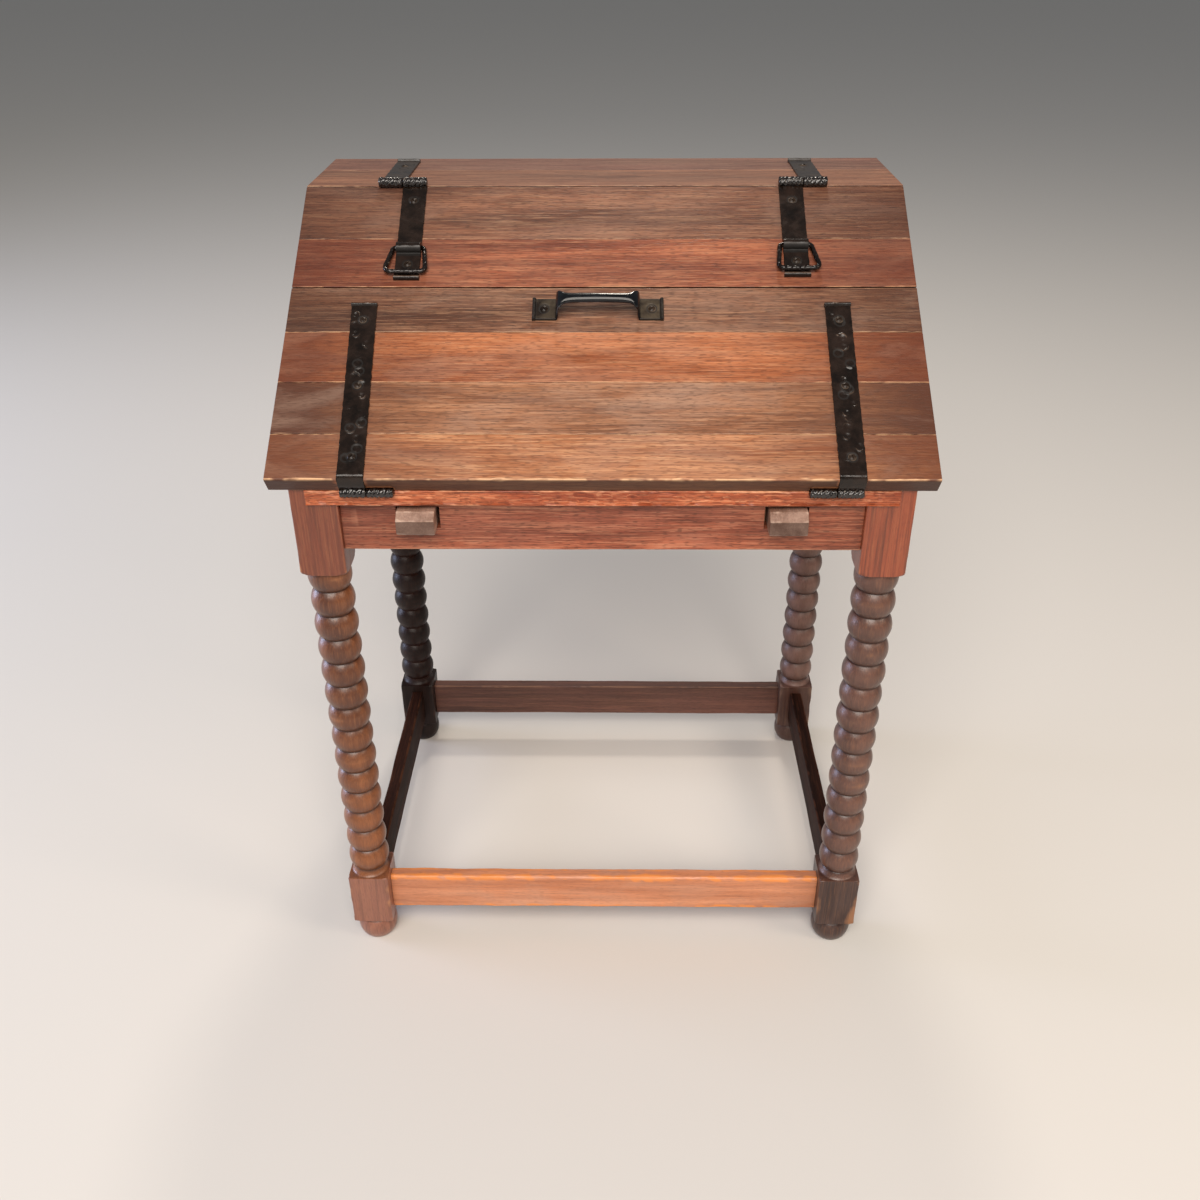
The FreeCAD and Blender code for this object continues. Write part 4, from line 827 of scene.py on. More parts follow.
def turned_leg(name, seed):
    """One leg: the smaller of the turned profile and the square bar, in every direction."""
    end, side = name.split("_")
    side, y = SIDE[side], LEG_Y[end]
    arris = np.linspace(43.2, 46.8, 5)  # rows crowd round each corner, in degrees
    turn = np.radians(sorted([a for a in range(0, 360, 6) if a % 90 not in (42, 48)]
                             + [q * 90 + t for q in range(4) for t in arris]))
    z, r, grime_and_shade, worn_and_highlights = np.array(leg_profile(np.random.default_rng(seed), LEG_TOP[end])).T
    grime_and_shade, worn_and_highlights = (mark[:, None] * np.ones(len(turn)) for mark in (grime_and_shade, worn_and_highlights))
    rounding = 2.4 + 1.1 * drift(z, seed, 40.0)
    square = np.stack([square_reach(turn, max(0.8, a)) for a in rounding])
    square -= 0.25 * np.maximum(1 + drift(leg_places(turn, z, 20.0), seed + 1, 60.0), 0)
    reach = np.minimum(r[:, None], square)
    # blocks are rubbed at their corners, the low ones widely by shoes, one down to pale wood by toes
    degrees = np.degrees(turn)[None]
    reach_of_wear = np.where(z < 130, 9.0, 2.2)[:, None]
    corner = np.exp(-((degrees % 90 - 45) / reach_of_wear) ** 2)
    corner = corner * (0.6 + 0.3 * drift(z, seed + 5, 50.0))[:, None]
    if name == "front_right":
        corner += 1.2 * np.exp(-((z[:, None] - TOE_Z) / 15.0) ** 2 - ((degrees - TOE_TURN) / 17.0) ** 2)
    worn_and_highlights = np.where(r[:, None] > square, corner, worn_and_highlights * 0.7)
    worn_and_highlights = np.clip(worn_and_highlights * (0.75 + 0.5 * drift(leg_places(turn, z, 25.0), seed + 2, 45.0)), 0, 1.2)
    rings = np.stack([side * LEG_X + reach * np.cos(turn), y + reach * np.sin(turn),
                      np.broadcast_to(z[:, None], reach.shape)], -1)
    points, faces = skin(rings)
    made = piece("leg_%s_turned" % name, "stand_and_case",
                 [(points, faces, worn_and_highlights.reshape(-1), grime_and_shade.reshape(-1))], WOODS[name],
                 ["leg_" + name], crisp=38.0)
    if end == "front":  # the tongue beside the bed boards
        carve(made, [block_cutter(*sorted((side * 300.0, side * CASE_HALF)), y - 40.0, y + 40.0,
                                  BED_UNDER, 765.0)])


for seed, name in enumerate(("front_left", "front_right", "back_left", "back_right"), 201):
    turned_leg(name, seed)
print("leg blocks end at", BLOCK_TOP, "mm, bobbins every", PITCH, "mm")

# %% [markdown]
# ## Hammered straps and leaves
# The irons are strips of 3 mm iron, 1 1/4 inch wide, dressed with a ball hammer. Each blow leaves a
# shallow dish with a raised crescent at one side, and the crescents are what catches the light. They
# are modelled, about one point per millimetre, because bump on a flat strap looks printed. A strap is
# a path with a width and a thickness, swept as rings, so it can bend over the lip or arch over a ring.
# The free ends are hammered up into a low lip.

# %% Sweep a strap
HALF_STRAP, IRON = 31.75 / 2, 3.0  # half width and thickness
SCREW_DENT = 6.4                   # radius of the dent that a screw head sits in


def dents(spots, run, cross):
    """How high each point stands from hammer blows. Spots are (run, cross, radius, depth, turn)."""
    height = np.zeros(np.broadcast(run, cross).shape)
    for at, off, radius, depth, turn in spots:
        du, dv = run - at, cross - off
        d = np.sqrt(du ** 2 + dv ** 2) / radius
        way = np.arctan2(dv, du)
        height -= depth * np.clip(1 - d ** 2, 0, 1) ** 2
        height += depth * 0.9 * np.exp(-((d - 1.05) / 0.2) ** 2) * np.clip(np.cos(way - turn), 0, 1) ** 0.8
    return height


def shade_round_screws(spots, run, cross):
    """Painted shade in the ring round each screw head, which sits in the widest dents; dirt gathers there
    too.
    """
    darkening = np.zeros(np.broadcast(run, cross).shape)
    for at, off, radius, _, _ in spots:
        if radius > 6:
            darkening += np.exp(-((np.hypot(run - at, cross - off) - radius + 0.5) / 0.9) ** 2)
    return darkening


def blows(seed, length, spacing, size=(4.2, 6.6), depth=(0.5, 0.95)):
    """Hammer blows scattered along a strap."""
    draw = np.random.default_rng(seed)
    spots = []
    at = spacing * 0.6
    while at < length - 4:
        off, radius, deep = draw.uniform(-11.0, 11.0), draw.uniform(*size), draw.uniform(*depth)
        spots.append((at, off, radius, deep, draw.uniform(-0.9, 0.9) + math.pi * draw.integers(0, 2)))
        at += spacing * draw.uniform(0.6, 1.4)
    return spots


def strap(path, spots, seed, cross_count=41, edge=0.7, wobble=0.25):
    """Rings along a strip. Path rows are (x, y, z, normal y, normal z, thickness, half width)."""
    path = np.asarray(path, float)
    steps = np.linalg.norm(np.diff(path[:, :3], axis=0), axis=1)
    run = np.concatenate([[0], np.cumsum(steps)])
    share = np.sin(np.linspace(-math.pi / 2, math.pi / 2, cross_count))
    half = path[:, 6] + wobble * drift(run, seed, 17.0)
    cross = share[None] * half[:, None]
    x = path[:, 0][:, None] + cross
    near_edge = half[:, None] - np.abs(cross)
    round_off = edge - np.sqrt(np.maximum(edge ** 2 - (edge - near_edge) ** 2, 0))
    fall_off = np.where(near_edge < edge, round_off, 0)
    marks = dents(spots, run[:, None], cross) * np.clip(near_edge / 2.0, 0, 1)
    top = path[:, 5][:, None] - fall_off + marks
    top += 0.12 * drift(np.stack(np.broadcast_arrays(run[:, None], cross), -1), seed + 1, 12.0)
    under = np.array([1.0, 0.5, 0.0, -0.5, -1.0])
    under_x = path[:, 0][:, None] + under[None] * half[:, None]
    under_n = np.zeros_like(under_x) + 0.02
    all_x = np.concatenate([x, under_x], 1)
    all_n = np.concatenate([top, under_n], 1)
    y = path[:, 1][:, None] + all_n * path[:, 3][:, None]
    z = path[:, 2][:, None] + all_n * path[:, 4][:, None]
    points, faces = skin(np.stack([all_x, y, z], -1))
    rim = np.exp(-near_edge / 0.6)
    crest = np.clip(path[:, 5][:, None] - 5.0, 0, 1)  # the lip's crest is painted paler, rubbed and a painted highlight line; its flanks are darkened
    # hammer crescents are painted paler: rubbed high spots and painted highlights
    worn_and_highlights = np.concatenate([np.clip(rim * 0.45 + marks * 1.6 + crest, 0, 1.0), np.zeros_like(under_x)], 1)
    dirt_and_shade = shade_round_screws(spots, run[:, None], cross) + 0.7 * ((path[:, 5] > 3.3) & (path[:, 5] < 5.0))[:, None]
    grime_and_shade = np.concatenate([np.clip(dirt_and_shade, 0, 1), np.zeros_like(under_x)], 1)
    return points, faces, worn_and_highlights.reshape(-1), grime_and_shade.reshape(-1)


def bead(distance, length, height):
    """Extra thickness of a hammered-up end, by distance from the end."""
    d = np.clip(np.asarray(distance, float) / length, 0, 1)
    return height * np.sqrt(np.clip(1 - (2 * d - 1) ** 2, 0, 1)) * (d < 1)


print("blows on one strap:", len(blows(1, 238.0, 11.5)))

# %% [markdown]
# ## Knuckles, rings and screws
# A knuckle is the strap's end rolled round a pin and then worked over with the hammer's edge. That
# leaves slanting ridges, about 5.6 mm apart, so it looks like a short length of rope and glints in
# flecks. It is a tube with those ridges pressed in, as plain noise would look lumpy. The lifting rings
# are a hammered bar on a closed path. Screws have domed heads with one slot, cut at a random turn.

# %% Tubes along X, bars on a path, screws
SCREW_SIDES, RIDGE = 28, 5.6  # points round a screw, mm from ridge to ridge on a knuckle


def knuckle(x0, x1, centre, radius, bore, seed, amount=1.15):
    """A tube along X with slanting hammered ridges and an open bore for its pin."""
    turn = np.linspace(0, 2 * math.pi, 48, endpoint=False)
    x = np.concatenate([[x0 + 0.05, x0, x0 + 0.25, x0 + 0.9], np.linspace(x0 + 2, x1 - 2, 44),
                        [x1 - 0.9, x1 - 0.25, x1, x1 - 0.05]])
    r = np.full(len(x), radius)
    r[[1, -2]] = radius - 1.5
    r[[2, -3]] = radius - 0.75
    r[[3, -4]] = radius - 0.2
    r[[0, -1]] = bore
    wrap = np.stack(np.broadcast_arrays(x[:, None], radius * np.cos(turn)[None],
                                        radius * np.sin(turn)[None]), -1)
    slant = 2 * math.pi * x[:, None] / RIDGE + 4 * turn[None] + 1.4 * drift(wrap, seed, 16.0)
    facets = 0.75 * np.sin(slant) + 0.5 * drift(wrap, seed + 1, 5.0)
    outside = r[:, None] > bore + 1
    rings_r = r[:, None] + amount * 0.6 * np.clip(facets - 0.5, -1.7, 0.0) * outside
    rings = np.stack([np.broadcast_to(x[:, None], rings_r.shape), centre[0] + rings_r * np.cos(turn),
                      centre[1] + rings_r * np.sin(turn)], -1)
    points, faces = skin(rings, loop=True)
    # ridge tops painted paler: rubbed iron and painted glints
    return points, faces, (np.clip(1.2 * (facets - 0.5), 0, 1) * outside).reshape(-1), 0.0


def bar_on_path(path, radius, seed, sides=16, amount=0.35):
    """A hammered round bar on a closed path."""
    path = np.asarray(path, float)
    ahead = np.roll(path, -1, 0) - np.roll(path, 1, 0)
    ahead /= np.linalg.norm(ahead, axis=1)[:, None]
    plane = np.cross(path[0] - path.mean(0), path[len(path) // 3] - path.mean(0))
    plane /= np.linalg.norm(plane)
    out = np.cross(ahead, plane)
    turn = np.linspace(0, 2 * math.pi, sides, endpoint=False)
    round_it = np.cos(turn)[None, :, None] * out[:, None] + np.sin(turn)[None, :, None] * plane
    facets = drift(path[:, None] + radius * round_it, seed, 5.5)
    reach = radius + amount * np.clip(facets - 0.6, -1.6, 0)
    flat, faces = skin(path[:, None] + reach[..., None] * round_it, loop=True)
    return flat, faces, np.clip(0.3 + 0.6 * facets, 0, 1).reshape(-1), 0.0


def screw_head(at, tilt, seed, sunk=False):
    """A domed or flat head and a short shank, square to a face tilted back by tilt, and its slot."""
    radius, height = 5.2, 2.4
    dome = [(0.0, height), (radius * 0.3, height * 0.95), (radius * 0.6, height * 0.74),
            (radius * 0.84, height * 0.4), (radius * 0.97, height * 0.12), (radius, 0.02), (2.0, 0.0),
            (2.0, -15.0)]
    flat = [(0.0, -0.02), (radius * 0.5, -0.02), (radius - 0.1, -0.02), (radius, -0.08),
            (2.0, -height), (2.0, -12.0)]
    turn = np.linspace(0, 2 * math.pi, SCREW_SIDES, endpoint=False)
    rings = [np.stack([max(r, 0.01) * np.cos(turn), max(r, 0.01) * np.sin(turn),
                       np.full(SCREW_SIDES, h)], -1) for r, h in (flat if sunk else dome)]
    points, faces = skin(np.stack(rings))
    bottom, roof = (-1.4, 1.0) if sunk else (height * 0.42, height + 2)
    slot = [[(x, y, z) for x, y in ((-7, -0.65), (7, -0.65), (7, 0.65), (-7, 0.65))]
            for z in (bottom, roof)]
    slot_points, slot_faces = skin(np.array(slot, float))
    a = np.random.default_rng(seed).uniform(0, math.pi)
    spin = np.array([[math.cos(a), -math.sin(a), 0], [math.sin(a), math.cos(a), 0], [0, 0, 1]])
    lean = np.array([[1, 0, 0], [0, math.cos(tilt), -math.sin(tilt)],
                     [0, math.sin(tilt), math.cos(tilt)]])
    place = lean @ spin
    return (points @ place.T + at, faces), (slot_points @ place.T + at, slot_faces)


def fasten(name, body, spots, node):
    """All the screws of one group as one piece, each with its slot cut."""
    shells, slots = [], []
    for at, tilt, seed, sunk in spots:
        (points, faces), cut = screw_head(np.asarray(at, float), tilt, seed, sunk=sunk)
        # the rim's rings are painted paler: a rubbed rim and a painted highlight crescent
        rim = np.isin(np.arange(len(points)) // SCREW_SIDES, (3, 4)) * 0.6
        shells.append((points, faces, rim, 0.0))
        slots.append(cut)
    carve(piece(name, body, shells, SCREW_IRON, [node]), slots)


print("a screw head has", len(screw_head(np.zeros(3), 0.0, 1)[0][0]), "points")

# %% Fall straps
APART = 0.25 + HALF_STRAP  # from a hinge's middle to the middle of each of its halves
FALL_X = {name: x + SIDE[name] * APART for name, x in LOWER_MIDDLE.items()}
BED_X = {name: x - SIDE[name] * APART for name, x in LOWER_MIDDLE.items()}
TOP_X = {name: x + SIDE[name] * APART for name, x in UPPER_MIDDLE.items()}
LID_X = {name: x - SIDE[name] * APART for name, x in UPPER_MIDDLE.items()}
LOWER_KNUCKLE, UPPER_KNUCKLE = (LOWER_PIN, 6.2, 2.55), (UPPER_PIN, 6.8, 2.85)  # radius and bore
END_ROWS, END_DROP = np.array([0.0, 0.1, 0.4, 1.0]), 2.6  # a strap's end face rises in these steps
FALL_END, FALL_SCREWS, LEAN = 256.0, (30.0, 131.0, 229.5), {"left": 5.5, "right": 0.0}
LIP_BEND, FIRST_BEND, EIGHTH = 18.0, 2.2, math.pi / 4
KNUCKLE_N = 3.5 * math.tan(SLOPE / 2) - LEAF


def slope_row(x, s, n=0.0, way=0.0, top=IRON, half=HALF_STRAP):
    """A row of a strap's path on the slope, its normal turned by way degrees towards the lip."""
    turn = math.radians(way)
    return (x, *slope_yz(s, n), *(OUTWARD * math.cos(turn) - UPWARD * math.sin(turn)), top, half)


def fall_strap_x(name, s):
    """The middle of a fall strap. One was fitted leaning a few millimetres outwards."""
    return FALL_X[name] + SIDE[name] * LEAN[name] * max(0.0, (s - 20.0) / 236.0)


def hinge_half(part, name, form, body, shell, iron, middle, pin_and_size, seed):
    """A strap or leaf and the knuckle at its end, which together stand for one CAD node."""
    piece("%s_%s_%s" % (part, name, form), body, [shell], iron)
    tube = knuckle(middle - HALF_STRAP, middle + HALF_STRAP, *pin_and_size, seed)
    piece("%s_knuckle_%s_hammered" % (part.split("_")[0], name), body, [tube], KNUCKLE_IRON,
          ["%s_%s" % (part, name)])


for name, side in SIDE.items():
    middle = FALL_X[name]
    rows = []
    for s in np.concatenate([FALL_END - END_ROWS, np.arange(254.3, BEND + 0.4, -1.0)]):
        top = IRON + bead(FALL_END - s, 4.4, 2.6) - (END_DROP if s == FALL_END else 0.0)
        rows.append(slope_row(fall_strap_x(name, s), s, top=top,
                              half=HALF_STRAP + (0.6 if s > FALL_END - 5.5 else 0.0)))
    crease = LIP_BEND * (1 - math.sin(EIGHTH)) + 1.56
    rows += [slope_row(middle, s) for s in np.arange(BEND, crease + 0.4, -1.0)]
    for way in range(0, 45, 9):
        turn = math.radians(way)
        rows.append(slope_row(middle, crease - FIRST_BEND * math.sin(turn),
                              FIRST_BEND * (math.cos(turn) - 1), way))
    for way in range(45, 91, 5):
        turn = math.radians(way)
        rows.append(slope_row(middle, LIP_BEND * (1 - math.sin(turn)),
                              LIP_BEND * (math.cos(turn) - math.cos(EIGHTH)) - 0.64, way))
    rows += [slope_row(middle, 0.0, n, 90)
             for n in np.arange(-0.72 * LIP_BEND - 1.0, KNUCKLE_N - 0.5, -1.1)]
    spots = blows(300 + side, 238.0, 11.5) + [(FALL_END - s, 0.0, SCREW_DENT, 0.5, 2.2) for s in FALL_SCREWS]
    hinge_half("fall_strap", name, "hammered", "fall", strap(rows, spots, 310 + side), STRAP_IRON,
               middle, LOWER_KNUCKLE, 320 + side)
print("fall straps:", len(FALL_X), "with knuckles at", LOWER_PIN)

# %% Leaves let into the bed
for name, side in SIDE.items():
    rows = [(BED_X[name], y, PLATE_Z + 0.02, 0.0, 1.0, IRON - 0.05, HALF_STRAP)
            for y in BED_FRONT + np.arange(-1.4, 46.0, 1.5)]
    hinge_half("bed_leaf", name, "plate", "stand_and_case", strap(rows, [], 330 + side, cross_count=17),
               STRAP_IRON, BED_X[name], LOWER_KNUCKLE, 340 + side)
print("rows in a leaf:", len(rows))

# %% Lid straps with the arch for the ring
LID_END = {"left": 294.0, "right": 299.0}
EYE, RING_PIN, ARCH = 50.0, 3.7, 4.8  # the ring's pin above a strap's end and off the wood, arch radius
LID_SCREW_LOW, LID_SCREW_HIGH = 24.4, CREASE_S - 29.3
ARCH_EXTRA = 10.0  # what the arch adds to the way along the strap
for name, side in SIDE.items():
    middle, end, eye = LID_X[name], LID_END[name], LID_END[name] + EYE
    rows = []
    for s in np.concatenate([end + END_ROWS, np.arange(end + 1.8, eye - 10.2, 1.0)]):
        top = IRON + 1.15 * bead(s - end, 5.4, 2.6) - (END_DROP if s == end else 0.0)
        rows.append(slope_row(middle, s, top=top, half=HALF_STRAP + (0.7 if s < end + 5 else 0.0)))
    rows += [slope_row(middle, eye - 8.8), slope_row(middle, eye - 7.2, 0.4, 40)]
    for way in np.linspace(90, -90, 15):
        turn = math.radians(way)
        rows.append(slope_row(middle, eye - ARCH * math.sin(turn), RING_PIN + ARCH * math.cos(turn), way))
    rows += [slope_row(middle, eye + 7.2, 0.4, -40), slope_row(middle, eye + 8.8)]
    rows += [slope_row(middle, s) for s in np.arange(eye + 10.2, CREASE_S - 1.0, 1.2)]
    rows.append(slope_row(middle, CREASE_S + 0.8, 0.4))
    spots = [(LID_SCREW_LOW, 0.0, SCREW_DENT, 0.5, 1.9),
             (LID_SCREW_HIGH - end + ARCH_EXTRA, 0.0, SCREW_DENT, 0.5, 2.0)]
    points, faces, worn_and_highlights, grime_and_shade = strap(rows, spots, 350 + side)
    under_arch = np.abs((points[:, 1:] - CORNER) @ UPWARD - (eye - 8.0))  # painted shade at the arch's lower foot
    shell = (points, faces, worn_and_highlights, np.maximum(grime_and_shade, np.clip(2.4 - under_arch / 2.2, 0, 1)))
    hinge_half("lid_strap", name, "hammered", "lid", shell, STRAP_IRON, middle, UPPER_KNUCKLE, 360 + side)
print("rows in a lid strap:", len(rows))

# %% Leaves over the top
LEAF_END, TOP_SCREW_Y = BACK_Y - 30.0, BACK_Y - 72.0
for name, side in SIDE.items():
    rows = [(TOP_X[name], CREASE_Y - 0.6, TOP_Z + 0.3, 0.0, 1.0, IRON, HALF_STRAP)]
    for gap in np.concatenate([np.arange(LEAF_END - CREASE_Y - 1.2, 1.0, -1.2), END_ROWS[::-1]]):
        top = IRON + bead(gap, 4.4, 2.5) - (END_DROP if gap == 0.0 else 0.0)
        rows.append((TOP_X[name], LEAF_END - gap, TOP_Z, 0.0, 1.0, top,
                     HALF_STRAP + (0.5 if gap < 5 else 0.0)))
    spots = blows(370 + side, 152.0, 26.0, depth=(0.15, 0.35))
    spots.append((TOP_SCREW_Y - CREASE_Y + 0.6, 0.0, SCREW_DENT, 0.5, 2.0))
    hinge_half("top_leaf", name, "plate", "stand_and_case", strap(rows, spots, 372 + side),
               TOP_LEAF_IRON, TOP_X[name], UPPER_KNUCKLE, 380 + side)
refinish(["%s_hinge_pin_%s" % (part, name) for part in ("fall", "lid") for name in SIDE], PIN_IRON)

# %% Lifting rings


def straight(start, end, step=1.1):
    """Points between two others, about a step apart, without the ends."""
    count = max(1, int(np.linalg.norm(end - start) / step))
    return [start + (end - start) * t for t in np.linspace(0, 1, count + 1)[1:-1]]


def rounded_path(corners, radii):
    """Points round a closed run of straight sides with round bends."""
    corners = [np.asarray(c, float) for c in corners]
    path = []
    for i, corner in enumerate(corners):
        u, w = corners[i - 1] - corner, corners[(i + 1) % len(corners)] - corner
        u, w = u / np.linalg.norm(u), w / np.linalg.norm(w)
        half = math.acos(np.clip(u @ w, -1, 1)) / 2
        reach = radii[i] / math.tan(half)
        middle = (u + w) / np.linalg.norm(u + w)
        centre = corner + middle * radii[i] / math.sin(half)
        start, finish = corner + u * reach, corner + w * reach
        arc = []
        for t in np.linspace(0, 1, 9):
            way = (start - centre) * (1 - t) + (finish - centre) * t
            arc.append(centre + way / np.linalg.norm(way) * radii[i])
        if path:
            path += straight(path[-1], arc[0])
        path += arc
    return np.array(path + straight(path[-1], path[0]))


RING_LONG, RING_BAR = 40.8, 3.25


def on_ring(name, cross, down):
    """A place on a resting ring, by width and by distance below its pin."""
    share = down / RING_LONG
    return on_slope(LID_X[name] + cross + SIDE[name] * 2.4 * share, LID_END[name] + EYE - down,
                    RING_PIN + 3.0 * share)


for name, side in SIDE.items():
    corners = [on_ring(name, -19.87, 0), on_ring(name, -26.8, RING_LONG),
               on_ring(name, 26.8, RING_LONG), on_ring(name, 19.87, 0)]
    shell = bar_on_path(rounded_path(corners, [4.3, 7.0, 7.0, 4.3]), RING_BAR, 390 + side)
    piece("ring_%s_hammered" % name, "ring_" + name, [shell], RING_IRON, ["ring_" + name])
print("points in a ring:", len(shell[0]))

# %% [markdown]
# ## The bow handle
# One strip of iron again: a flat plate at each end, a wide leg rising from it, a shoulder with
# flared corners, and a narrow rounded grip between. It could be cut from a block with modifiers, but as
# a swept strip its width can be read straight off a list, as a smith would draw it. The rows between
# are smoothed, so the grip has no facets. Each plate has a raised end like the straps'.

# %% Forge the handle
HANDLE_X, HANDLE_S = -6.2, 246.7
PLATE_IN, PLATE_OUT, PLATE_SCREW = 51.7, 82.25, 67.35
BOW_ROWS, PLATE_ROWS = 17, 37  # points across the bow's upper face and across a plate


def smooth(keys, count):
    """Catmull-Rom rows through a list of keys."""
    keys = np.asarray(keys, float)
    padded = np.concatenate([2 * keys[:1] - keys[1:2], keys, 2 * keys[-1:] - keys[-2:-1]])
    rows = []
    for i in range(len(keys) - 1):
        a, b, c, d = padded[i:i + 4]
        for t in np.linspace(0, 1, count, endpoint=False):
            rows.append(0.5 * (2 * b + (c - a) * t + (2 * a - 5 * b + 4 * c - d) * t ** 2
                               + (3 * b - 3 * c + d - a) * t ** 3))
    rows.append(keys[-1])
    return np.array(rows)


half_bow = [
    # x, n of the middle line, turn in degrees, width, thickness, roundness
    (-53.2, 1.6, 0, 31.75, 3.0, 0.1), (-51.8, 3.2, 55, 31.75, 3.2, 0.1), (-51.0, 8.0, 82, 30.2, 3.3, 0.12),
    (-50.4, 14.5, 84, 28.0, 3.5, 0.15), (-49.8, 19.6, 78, 26.6, 3.8, 0.2), (-47.8, 23.0, 48, 25.0, 4.2, 0.3),
    (-44.6, 24.6, 18, 20.5, 4.8, 0.5), (-40.0, 25.2, 6, 16.0, 5.4, 0.7), (-32.0, 25.5, 3, 14.4, 5.8, 0.9),
    (-17.0, 25.9, 1.5, 14.0, 6.0, 0.9)]
bow_keys = half_bow + [(0.0, 26.2, 0.0, 14.0, 6.0, 0.9)] \
    + [(-x, n, -turn, w, t, r) for x, n, turn, w, t, r in reversed(half_bow)]
rows = smooth(bow_keys, 7)
share = np.linspace(-1, 1, BOW_ROWS)
below = share[::-2]
rings = []
for x, n, turn, width, thick, roundness in rows:
    a = math.radians(turn)
    crown = 1 - roundness * (1 - np.sqrt(np.clip(1 - (share * 0.985) ** 2, 0, 1)))
    edge = np.clip((1 - np.abs(share)) * width / 2 / 0.7, 0, 1)
    crown = crown * (0.55 + 0.45 * np.sqrt(edge))
    upper = np.stack([share * width / 2, thick * (crown - 0.5)], -1)
    belly = 0.75 + 0.25 * np.clip((1 - np.abs(below)) * width / 1.4, 0, 1)
    lower = np.stack([below * width / 2, -thick * 0.5 * belly], -1)
    wide, deep = np.concatenate([upper, lower]).T
    rings.append(on_slope(HANDLE_X + x - math.sin(a) * deep, HANDLE_S + wide, n + math.cos(a) * deep))
rings = np.array(rings)
flat, faces = skin(rings)
worn_and_highlights = np.zeros(rings.shape[:2])
worn_and_highlights[:, 0] = worn_and_highlights[:, BOW_ROWS - 1] = 0.7
piece("bow_handle_forged", "fall", [(flat, faces, worn_and_highlights.reshape(-1), 0.0)], HANDLE_IRON,
      ["handle"])

share = np.sin(np.linspace(-math.pi / 2, math.pi / 2, PLATE_ROWS))
below = share[::-4]
bare = np.zeros(len(below))
spots = [(PLATE_SCREW, 0.0, 6.6, 0.45, 2.0)]
shells = []
for side in SIDE.values():
    rings, marks, dark = [], [], []
    for reach in np.concatenate([PLATE_OUT - END_ROWS[:3], np.arange(PLATE_OUT - 1.0, PLATE_IN, -0.9)]):
        tip, run = PLATE_OUT - reach, np.full(PLATE_ROWS, reach)
        top = IRON + bead(tip, 4.6, 2.4) - (END_DROP if reach == PLATE_OUT else 0.0)
        half = HALF_STRAP + (0.6 if tip < 4 else 0.0)
        cross = share * half
        near_edge = half - np.abs(cross)
        fall_off = np.where(near_edge < 0.7, 0.7 - np.sqrt(np.maximum(0.49 - (0.7 - near_edge) ** 2, 0)), 0)
        lumps = 0.35 * drift(np.stack([run, cross], -1), 400 + side, 4.5) * (tip < 4.6)
        n = top - fall_off + lumps + dents(spots, run, cross)
        upper = on_slope(HANDLE_X + side * reach, HANDLE_S + cross, n)
        lower = on_slope(HANDLE_X + side * reach, HANDLE_S + below * half, 0.02)
        rings.append(np.concatenate([upper, lower]))
        at_lip = 1.0 if tip < 5 else 0.0
        marks.append(np.concatenate([np.clip(lumps * 3 + 0.5 * (1 - at_lip), 0, 1), bare]))
        # the raised end is darkened, and painted shade runs along the plate's edges and round its screw
        dirt_and_shade = 0.75 * at_lip + shade_round_screws(spots, run, cross) + np.exp(-near_edge / 1.2)
        dark.append(np.concatenate([np.clip(dirt_and_shade, 0, 1), bare]))
    flat, faces = skin(np.array(rings))
    shells.append((flat, faces, np.array(marks).reshape(-1), np.array(dark).reshape(-1)))
piece("handle_plates_hammered", "fall", shells, PLATE_IRON)
print("handle, end to end:", 2 * PLATE_OUT, "mm")

# %% Screws
ROUND = 2.7  # a domed head's seat in its dent, above the wood
sides = SIDE.items()
fasten("fall_strap_screws_domed", "fall",
       [(on_slope(fall_strap_x(name, s), s, ROUND), SLOPE, 500 + 10 * side + k, False)
        for name, side in sides for k, s in enumerate(FALL_SCREWS)], "fall_strap_screws")
fasten("lid_strap_screws_domed", "lid",
       [(on_slope(LID_X[name], s, ROUND), SLOPE, 530 + 10 * side + k, False) for name, side in sides
        for k, s in enumerate((LID_END[name] + LID_SCREW_LOW, LID_SCREW_HIGH))], "lid_strap_screws")
fasten("top_leaf_screws_domed", "stand_and_case",
       [((TOP_X[name], TOP_SCREW_Y, TOP_Z + ROUND), 0.0, 560 + side, False) for name, side in sides],
       "top_leaf_screws")
fasten("bed_leaf_screws_flat", "stand_and_case",
       [((BED_X[name], BED_FRONT + back, BED_Z), 0.0, 570 + side + back, True)
        for name, side in sides for back in (12, 32)], "bed_leaf_screws")
fasten("handle_screws_domed", "fall",
       [(on_slope(HANDLE_X + side * PLATE_SCREW, HANDLE_S, ROUND), SLOPE, 590 + side, False)
        for name, side in sides], "handle_screws")

# %% [markdown]
# ## Floor, light and camera
# A plain pale floor and a soft studio. One large lamp stands high in front, a small one behind and
# above picks out the top's edges, a warm one fills from the right, a cool one stands in for a window at
# the left, and an even surround keeps shadows open. Large lamps give soft shadows that show form
# without drama. The camera is a standing person's eye a step and a half away, looking down.

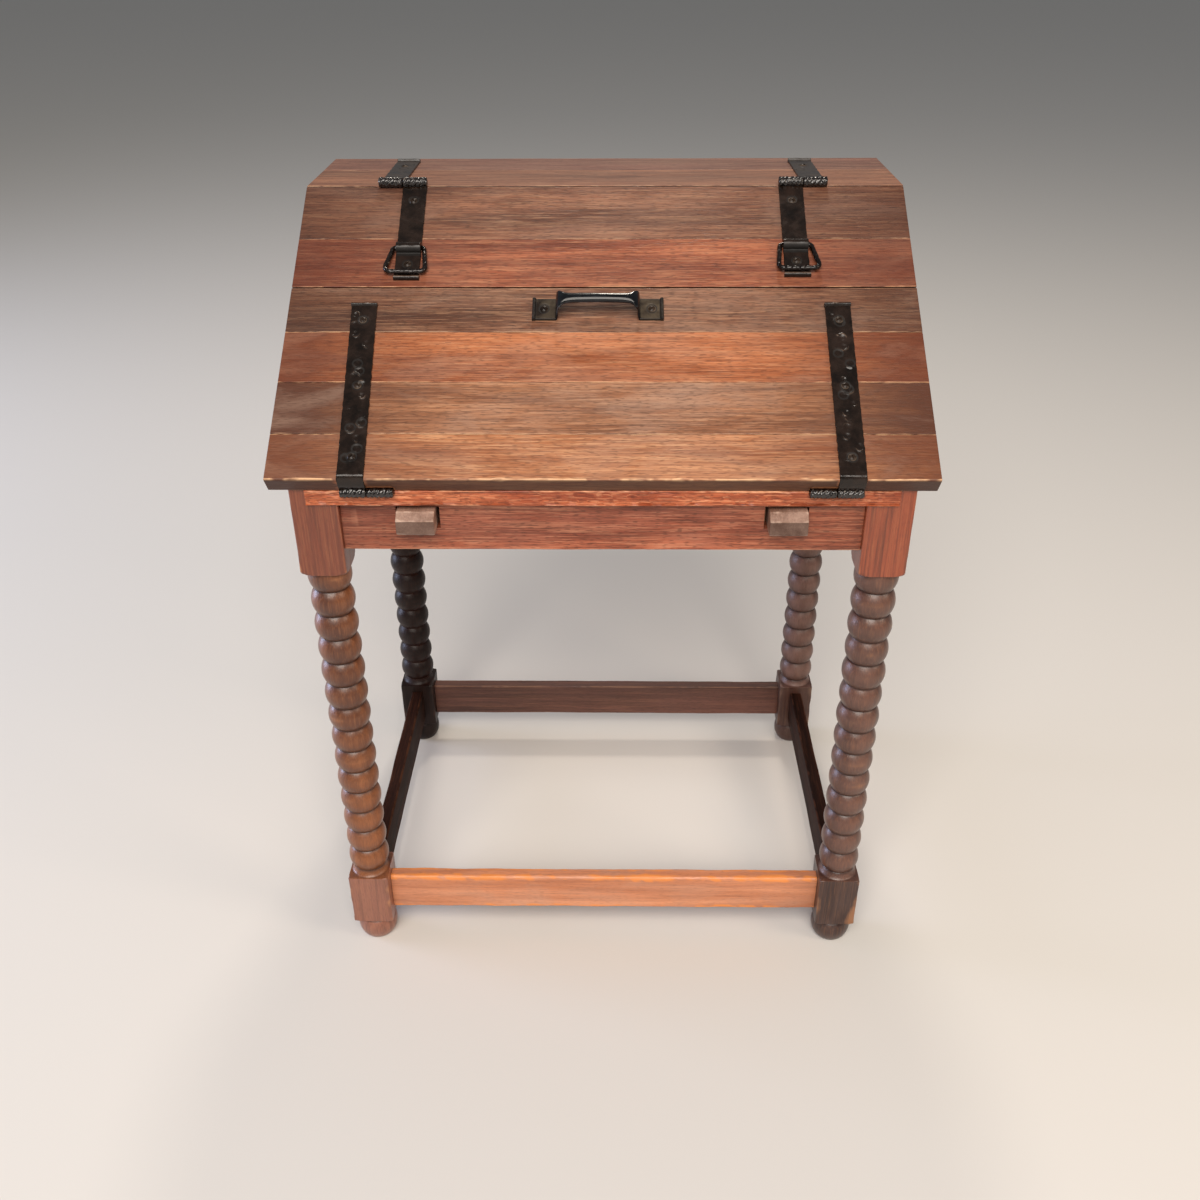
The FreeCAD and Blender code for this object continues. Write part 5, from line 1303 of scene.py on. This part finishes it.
# %% Stage
floor_mesh = bpy.data.meshes.new("floor")
floor_mesh.from_pydata([(-30, -30, 0), (30, -30, 0), (30, 30, 0), (-30, 30, 0)], [], [(0, 1, 2, 3)])
floor = bpy.data.objects.new("floor", floor_mesh)
bpy.context.scene.collection.objects.link(floor)
plaster, tree = blank("floor_pale_matt")
shader = add(tree, "BsdfPrincipled", {"Base Color": linear("#d9d6d1"), "Roughness": 0.8})
add(tree, "OutputMaterial", {"Surface": shader})
floor_mesh.materials.append(plaster)

world = bpy.data.worlds.new("surround")
bpy.context.scene.world = world
world.use_nodes = True
background = world.node_tree.nodes["Background"]
background.inputs["Color"].default_value = linear("#e9ebee")
background.inputs["Strength"].default_value = 0.24
LAMPS = (
    # name, place, aim, width in metres, watts, colour
    ("key", (-0.3, -4.6, 4.9), (0, 0, 0.6), 4.4, 425.0, "#fff6ec"),
    ("sky", (0.1, 2.3, 4.0), (0, 0, 0.9), 0.5, 42.0, "#fff3e4"),
    ("fill", (3.0, -1.6, 2.4), (0, 0, 0.6), 1.4, 36.0, "#ffe9d2"),
    ("window", (-4.6, 0.6, 1.1), (0, 0, 0.6), 2.1, 130.0, "#cfdcff"),
)
for name, at, aim, size, power, colour in LAMPS:
    light = bpy.data.lights.new(name, "AREA")
    light.shape, light.size, light.energy, light.color = "DISK", size, power, linear(colour)[:3]
    made = bpy.data.objects.new(name, light)
    made.location = at
    made.rotation_euler = (Vector(aim) - Vector(at)).to_track_quat("-Z", "Y").to_euler()
    bpy.context.scene.collection.objects.link(made)
print("lamps:", len(LAMPS))

# %% Camera
eye = bpy.data.cameras.new("eye")
eye.sensor_width, eye.lens = 36.0, 35.25
view = bpy.data.objects.new("eye", eye)
bpy.context.scene.collection.objects.link(view)
pitch, yaw, roll = (math.radians(v) for v in (31.0, -0.9, -0.3))
ahead = Vector((math.sin(yaw) * math.cos(pitch), math.cos(yaw) * math.cos(pitch), -math.sin(pitch)))
right = Vector((math.cos(yaw), -math.sin(yaw), 0.0))
up = right.cross(ahead)
right, up = right * math.cos(roll) + up * math.sin(roll), up * math.cos(roll) - right * math.sin(roll)
turned = Matrix((right, up, -ahead)).transposed().to_4x4()
view.matrix_world = Matrix.Translation((0.0172, -1.52573, 1.3634)) @ turned
bpy.context.scene.camera = view
bpy.context.scene.view_settings.view_transform = "Standard"
print("camera lens:", eye.lens, "mm")
